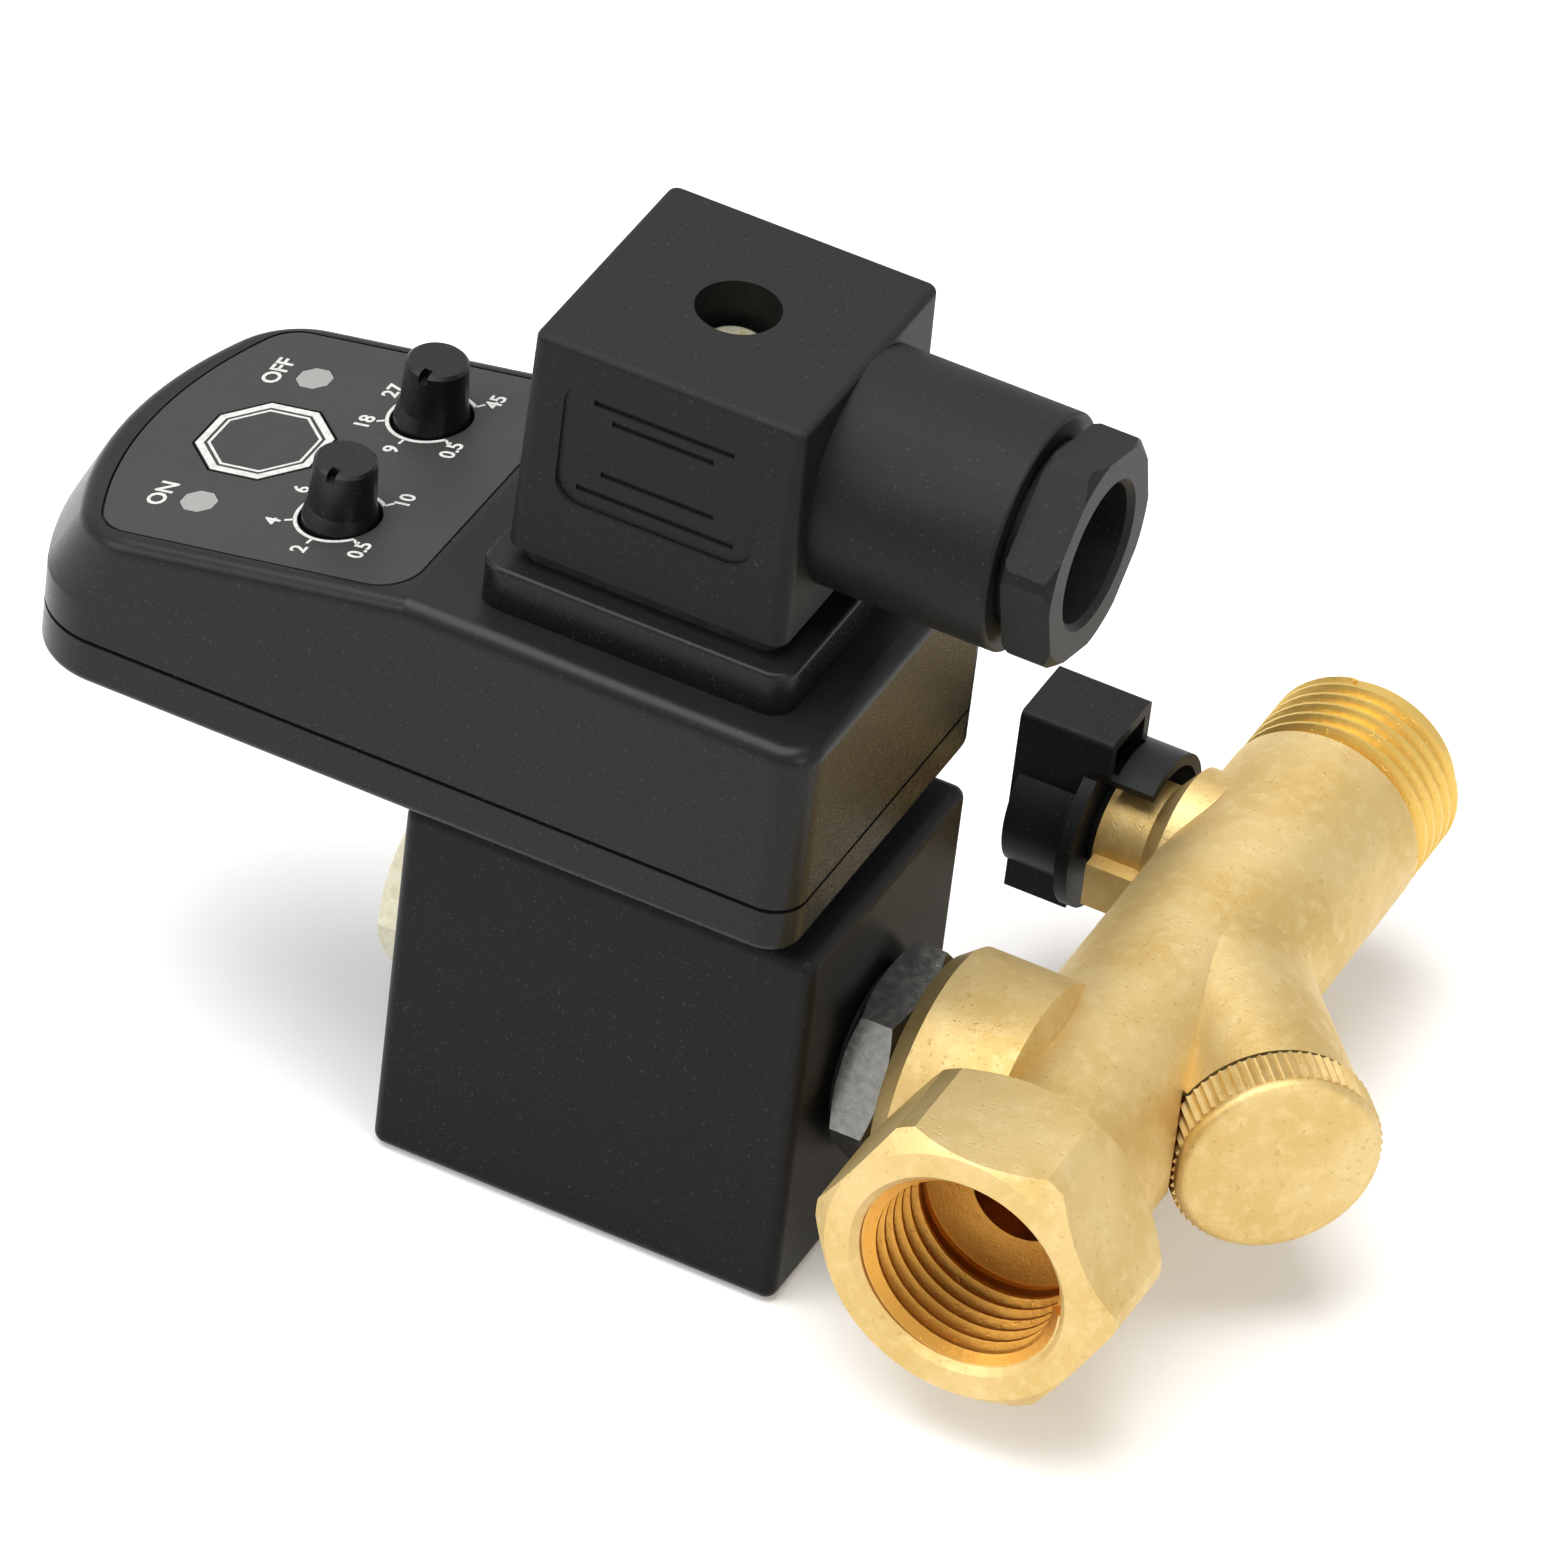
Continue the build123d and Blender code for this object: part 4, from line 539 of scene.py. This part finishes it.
# %% The plane of the panel
dials = {name: corners(name) for name in ("off_time_dial", "on_time_dial")}
dial_x = sum(low.x + high.x for low, high in dials.values()) / 4
panel_y = (panel_low.y + panel_high.y) / 2
foil = frame["nodes"]["front_panel"].data
foil_normal = max((face.normal.copy() for face in foil.polygons if face.normal.z > 0.5),
                  key=lambda direction: direction.z if direction.z < 0.995 else 0)
foil_top = max((corner.co for corner in foil.vertices), key=lambda place: place.dot(foil_normal)) / MM
downhill = Vector((foil_normal.z, 0, -foil_normal.x))
TOP_FACE = 0.05
button_places = [corner.co / MM for corner in frame["nodes"]["test_button"].data.vertices]
button_top = max(place.dot(foil_normal) for place in button_places)
button_face = [place.x for place in button_places if place.dot(foil_normal) > button_top - TOP_FACE]
button_x = (min(button_face) + max(button_face)) / 2


def height_of_panel(x):
    """Height of the foil at x."""
    return foil_top.z - (x - foil_top.x) * foil_normal.x / foil_normal.z


def on_panel(x, y):
    """Matrix that lays a flat drawing in millimetres on the foil, with its top towards the free end."""
    turn = Matrix((Vector((0, 1, 0)), -downhill, foil_normal)).transposed().to_4x4()
    return Matrix.Scale(MM, 4) @ Matrix.Translation((x, y, height_of_panel(x))) @ turn


print("foil rises by", round(-foil_normal.x / foil_normal.z, 3), "with its middle at y", round(panel_y, 2))

# %% [markdown]
# A ring is a tiny rectangle that is spun about the dial; with eight steps it is an octagon. A tick is
# a stretched cube. Figures come from Blender's own font, are turned into a mesh and joined.

# %% Helpers for print
PRINT = 0.03
FULL_TURN = 2 * pi
FONT_SIZE = 1.4
BOLD = 0.03


def ring_mark(shape, inner, outer, start, sweep, steps):
    """Flat ring or arc, counted clockwise from the top of the drawing."""
    direction = Vector((sin(start), cos(start), 0))
    section = [shape.verts.new(direction * radius + Vector((0, 0, height)))
               for radius, height in ((inner, 0), (outer, 0), (outer, PRINT), (inner, PRINT))]
    full = sweep == FULL_TURN
    if full:
        start_from = [shape.edges.new((section[place - 1], section[place])) for place in range(4)]
    else:
        start_from = [shape.faces.new(section)]
    bmesh.ops.spin(shape, geom=start_from, cent=(0, 0, 0), axis=(0, 0, 1), angle=-sweep,
                   steps=steps, use_merge=full)


def bar_mark(shape, length, width, place, angle=0.0):
    """Flat bar that points along an angle, counted clockwise from the top of the drawing."""
    turn = Matrix.Translation((place[0], place[1], PRINT / 2)) @ Matrix.Rotation(-angle, 4, "Z")
    bmesh.ops.create_cube(shape, size=1, matrix=turn @ Matrix.Diagonal((width, length, PRINT, 1)))


def text_mark(shape, words, height, place):
    """Words or figures centred on a place, as a thin mesh."""
    curve = bpy.data.curves.new("lettering", "FONT")
    curve.body = words
    curve.size = height * FONT_SIZE
    curve.align_x = "CENTER"
    curve.align_y = "CENTER"
    curve.offset = height * BOLD
    curve.extrude = PRINT / 2
    curve.resolution_u = 3
    holder = bpy.data.objects.new("lettering", curve)
    bpy.context.scene.collection.objects.link(holder)
    bpy.context.view_layer.update()
    mesh = bpy.data.meshes.new_from_object(holder)
    mesh.transform(Matrix.Translation((place[0], place[1], PRINT / 2)))
    shape.from_mesh(mesh)
    bpy.data.objects.remove(holder)
    bpy.data.meshes.remove(mesh)
    bpy.data.curves.remove(curve)


def print_on_panel(name, shape, x, y, body="solenoid_head"):
    """Lay a drawing on the foil and make it a piece."""
    bmesh.ops.transform(shape, matrix=on_panel(x, y), verts=shape.verts)
    piece(name, shape, body, "white_print")


print("print is", PRINT, "mm thick")

# %% [markdown]
# Screen ink is a matt paint that rubs off in patches, so its tint goes from pale to middling grey.

# %% White ink
def white_print():
    finish = Finish("white_print", IOR=1.45)
    wear = finish.noise(1.6, 4, 0.6)
    tint = finish.mix(wear.step(0.3, 0.75), colour(208, 208, 205), colour(182, 182, 179))
    finish.feed("Base Color", tint)
    finish.feed("Roughness", 0.5 + 0.15 * wear)
    finish.bump(wear * 0.004)
    return finish.material


finishes["white_print"] = white_print()
print("made", finishes["white_print"].name)

# %% [markdown]
# Each scale runs clockwise through 270 degrees, from half a second to ten seconds open and from half
# a minute to forty-five minutes closed.

# %% Scales round the dials
RING_INNER = 4.15
RING_OUTER = 4.5
TICK = 0.9
TICK_WIDTH = 0.28
TICK_AT = RING_OUTER + TICK / 2 - 0.1
FIGURES_AT = 6.4
FIGURE_HEIGHT = 1.6
SCALE_START = radians(-135)
SCALE_SWEEP = radians(270)


def dial_scale(name, dial, times):
    low, high = dials[dial]
    shape = bmesh.new()
    ring_mark(shape, RING_INNER, RING_OUTER, SCALE_START, SCALE_SWEEP, 72)
    for index, time in enumerate(times):
        angle = SCALE_START + SCALE_SWEEP * index / (len(times) - 1)
        direction = Vector((sin(angle), cos(angle)))
        bar_mark(shape, TICK, TICK_WIDTH, TICK_AT * direction, angle)
        text_mark(shape, time, FIGURE_HEIGHT, FIGURES_AT * direction)
    print_on_panel(name, shape, dial_x, (low.y + high.y) / 2)


dial_scale("off_time_scale", "off_time_dial", ["0.5", "9", "18", "27", "36", "45"])
dial_scale("on_time_scale", "on_time_dial", ["0.5", "2", "4", "6", "8", "10"])

# %% [markdown]
# The test button has a double octagon, and each light its word above it. The octagon rides on the
# button, so it goes down with it, and the words ride on the timer.

# %% Octagon and words
OCTAGONS = ((5.85, 6.65), (5.2, 5.5))
HALF_SIDE = radians(22.5)
LENS_WIDTH = 3.5
WORD_HEIGHT = 1.85
WORDS_ABOVE = 4.3


def button_print():
    shape = bmesh.new()
    for inner, outer in OCTAGONS:
        ring_mark(shape, inner, outer, HALF_SIDE, FULL_TURN, 8)
    print_on_panel("button_rings", shape, button_x, panel_y, "test_button")


def light_words():
    shape = bmesh.new()
    lens_low, lens_high = corners("status_lenses")
    lens_side = (lens_high.y - lens_low.y - LENS_WIDTH) / 2
    for word, side in (("OFF", 1), ("ON", -1)):
        text_mark(shape, word, WORD_HEIGHT, (side * lens_side, WORDS_ABOVE))
    print_on_panel("light_words", shape, (lens_low.x + lens_high.x) / 2, panel_y)


button_print()
light_words()

# %% [markdown]
# ## The knurled edge of the strainer cap
# A knurl is one small rib repeated round the cap, there for a grip. The rib is a three-sided prism
# from `create_cone`, and a spin that duplicates instead of extruding sets out the others. The leg's
# angle gives the direction of the axis, and the cap's own mesh says where the axis lies, how wide the
# cap is and where it ends.

# %% Knurl
LEG_ANGLE = radians(49)
CAP_LENGTH = 4.9
KNURL_LENGTH = 3.6
KNURL_HEIGHT = 0.33
KNURL_EDGE = 0.1
RIB_SIZE = 0.5
RIB_WIDTH = 1.9
RIBS = 64


def knurl():
    along = Vector((cos(LEG_ANGLE), -sin(LEG_ANGLE), 0))
    across = Vector((sin(LEG_ANGLE), cos(LEG_ANGLE), 0))
    places = [corner.co / MM for corner in frame["nodes"]["strainer_cap"].data.vertices]
    sideways = [place.dot(across) for place in places]
    axis_at = across * (min(sideways) + max(sideways)) / 2
    radius = max(place.z for place in places)
    rim_start = max(place.dot(along) for place in places) - CAP_LENGTH
    shape = bmesh.new()
    rib = bmesh.ops.create_cone(shape, cap_ends=True, segments=3, radius1=RIB_SIZE, radius2=RIB_SIZE,
                                depth=KNURL_LENGTH)
    bmesh.ops.scale(shape, vec=(RIB_WIDTH, 1, 1), verts=rib["verts"])
    bmesh.ops.translate(shape, verts=rib["verts"],
                        vec=(0, radius + KNURL_HEIGHT - RIB_SIZE, rim_start + KNURL_EDGE + KNURL_LENGTH / 2))
    bmesh.ops.spin(shape, geom=shape.verts[:] + shape.edges[:] + shape.faces[:], cent=(0, 0, 0),
                   axis=(0, 0, 1), angle=2 * pi * (RIBS - 1) / RIBS, steps=RIBS - 1, use_duplicate=True)
    lay = Matrix.Translation(axis_at) @ along.to_track_quat("Z", "Y").to_matrix().to_4x4()
    bmesh.ops.transform(shape, matrix=Matrix.Scale(MM, 4) @ lay, verts=shape.verts)
    piece("cap_knurl", shape, "valve", "cast_brass")


knurl()

# %% [markdown]
# ## Floor and light
# A pale floor takes a soft shadow. It lies a hair below the lowest solid, and glows faintly so that
# the shadow stays light.

# %% Floor
def floor_finish():
    finish = Finish("floor", Roughness=0.9, Emission_Color=(1, 1, 1, 1), Emission_Strength=0.18)
    mottle = finish.noise(0.02, 2)
    finish.feed("Base Color", finish.mix(mottle, (0.9, 0.9, 0.9, 1), (0.93, 0.93, 0.92, 1)))
    return finish.material


FLOOR_SIZE = 6.0
FLOOR_GAP = 0.2 * MM
floor_z = size_of_solids[0][2] - FLOOR_GAP
shape = bmesh.new()
bmesh.ops.create_grid(shape, x_segments=1, y_segments=1, size=FLOOR_SIZE)
bmesh.ops.translate(shape, verts=shape.verts, vec=(0, 0, floor_z))
floor_mesh = bpy.data.meshes.new("floor")
shape.to_mesh(floor_mesh)
shape.free()
floor_mesh.materials.append(floor_finish())
floor = bpy.data.objects.new("floor", floor_mesh)
bpy.context.scene.collection.objects.link(floor)
print("floor at z", round(floor_z / MM, 2), "mm")

# %% [markdown]
# Small parts are lit with lamps much larger than themselves, which gives soft edges to shadows and
# broad highlights on the metal. One lamp hangs above and a weaker one stands on each side.

# %% Lamps
def lamp(name, place, target, size, power):
    """Square area lamp that looks at a target."""
    light = bpy.data.lights.new(name, "AREA")
    light.size = size
    light.energy = power
    thing = bpy.data.objects.new(name, light)
    thing.location = place
    thing.rotation_euler = (Vector(target) - Vector(place)).to_track_quat("-Z", "Y").to_euler()
    bpy.context.scene.collection.objects.link(thing)


MIDDLE = (-0.03, 0.04, 0.02)
lamp("lamp_above", (-0.2, -0.1, 0.95), MIDDLE, 0.9, 13.0)
lamp("lamp_left", (-0.9, -0.7, 0.5), MIDDLE, 0.6, 4.0)
lamp("lamp_right", (0.9, -0.5, 0.45), MIDDLE, 0.5, 2.5)
print("three lamps look at", MIDDLE)

# %% [markdown]
# The world lights the part dimly from all sides. The camera sees it white, and a mirroring surface
# sees it nearly white, so the metal has something pale to reflect.

# %% World
DIM = 0.36
IN_MIRRORS = 0.75

world = bpy.data.worlds.new("studio")
bpy.context.scene.world = world
world.use_nodes = True
sky = world.node_tree
sky.nodes.clear()
rays = sky.nodes.new("ShaderNodeLightPath")
seen = Value(sky, rays.outputs["Is Camera Ray"])
mirrored = Value(sky, rays.outputs["Is Glossy Ray"])
strength = DIM + seen.maximum(mirrored * IN_MIRRORS) * (1 - DIM)
backdrop = sky.nodes.new("ShaderNodeBackground")
backdrop.inputs["Color"].default_value = (1, 1, 1, 1)
sky.links.new(strength.socket, backdrop.inputs["Strength"])
sky.links.new(backdrop.outputs[0], sky.nodes.new("ShaderNodeOutputWorld").inputs[0])
print("the world's light is", DIM, "of white")
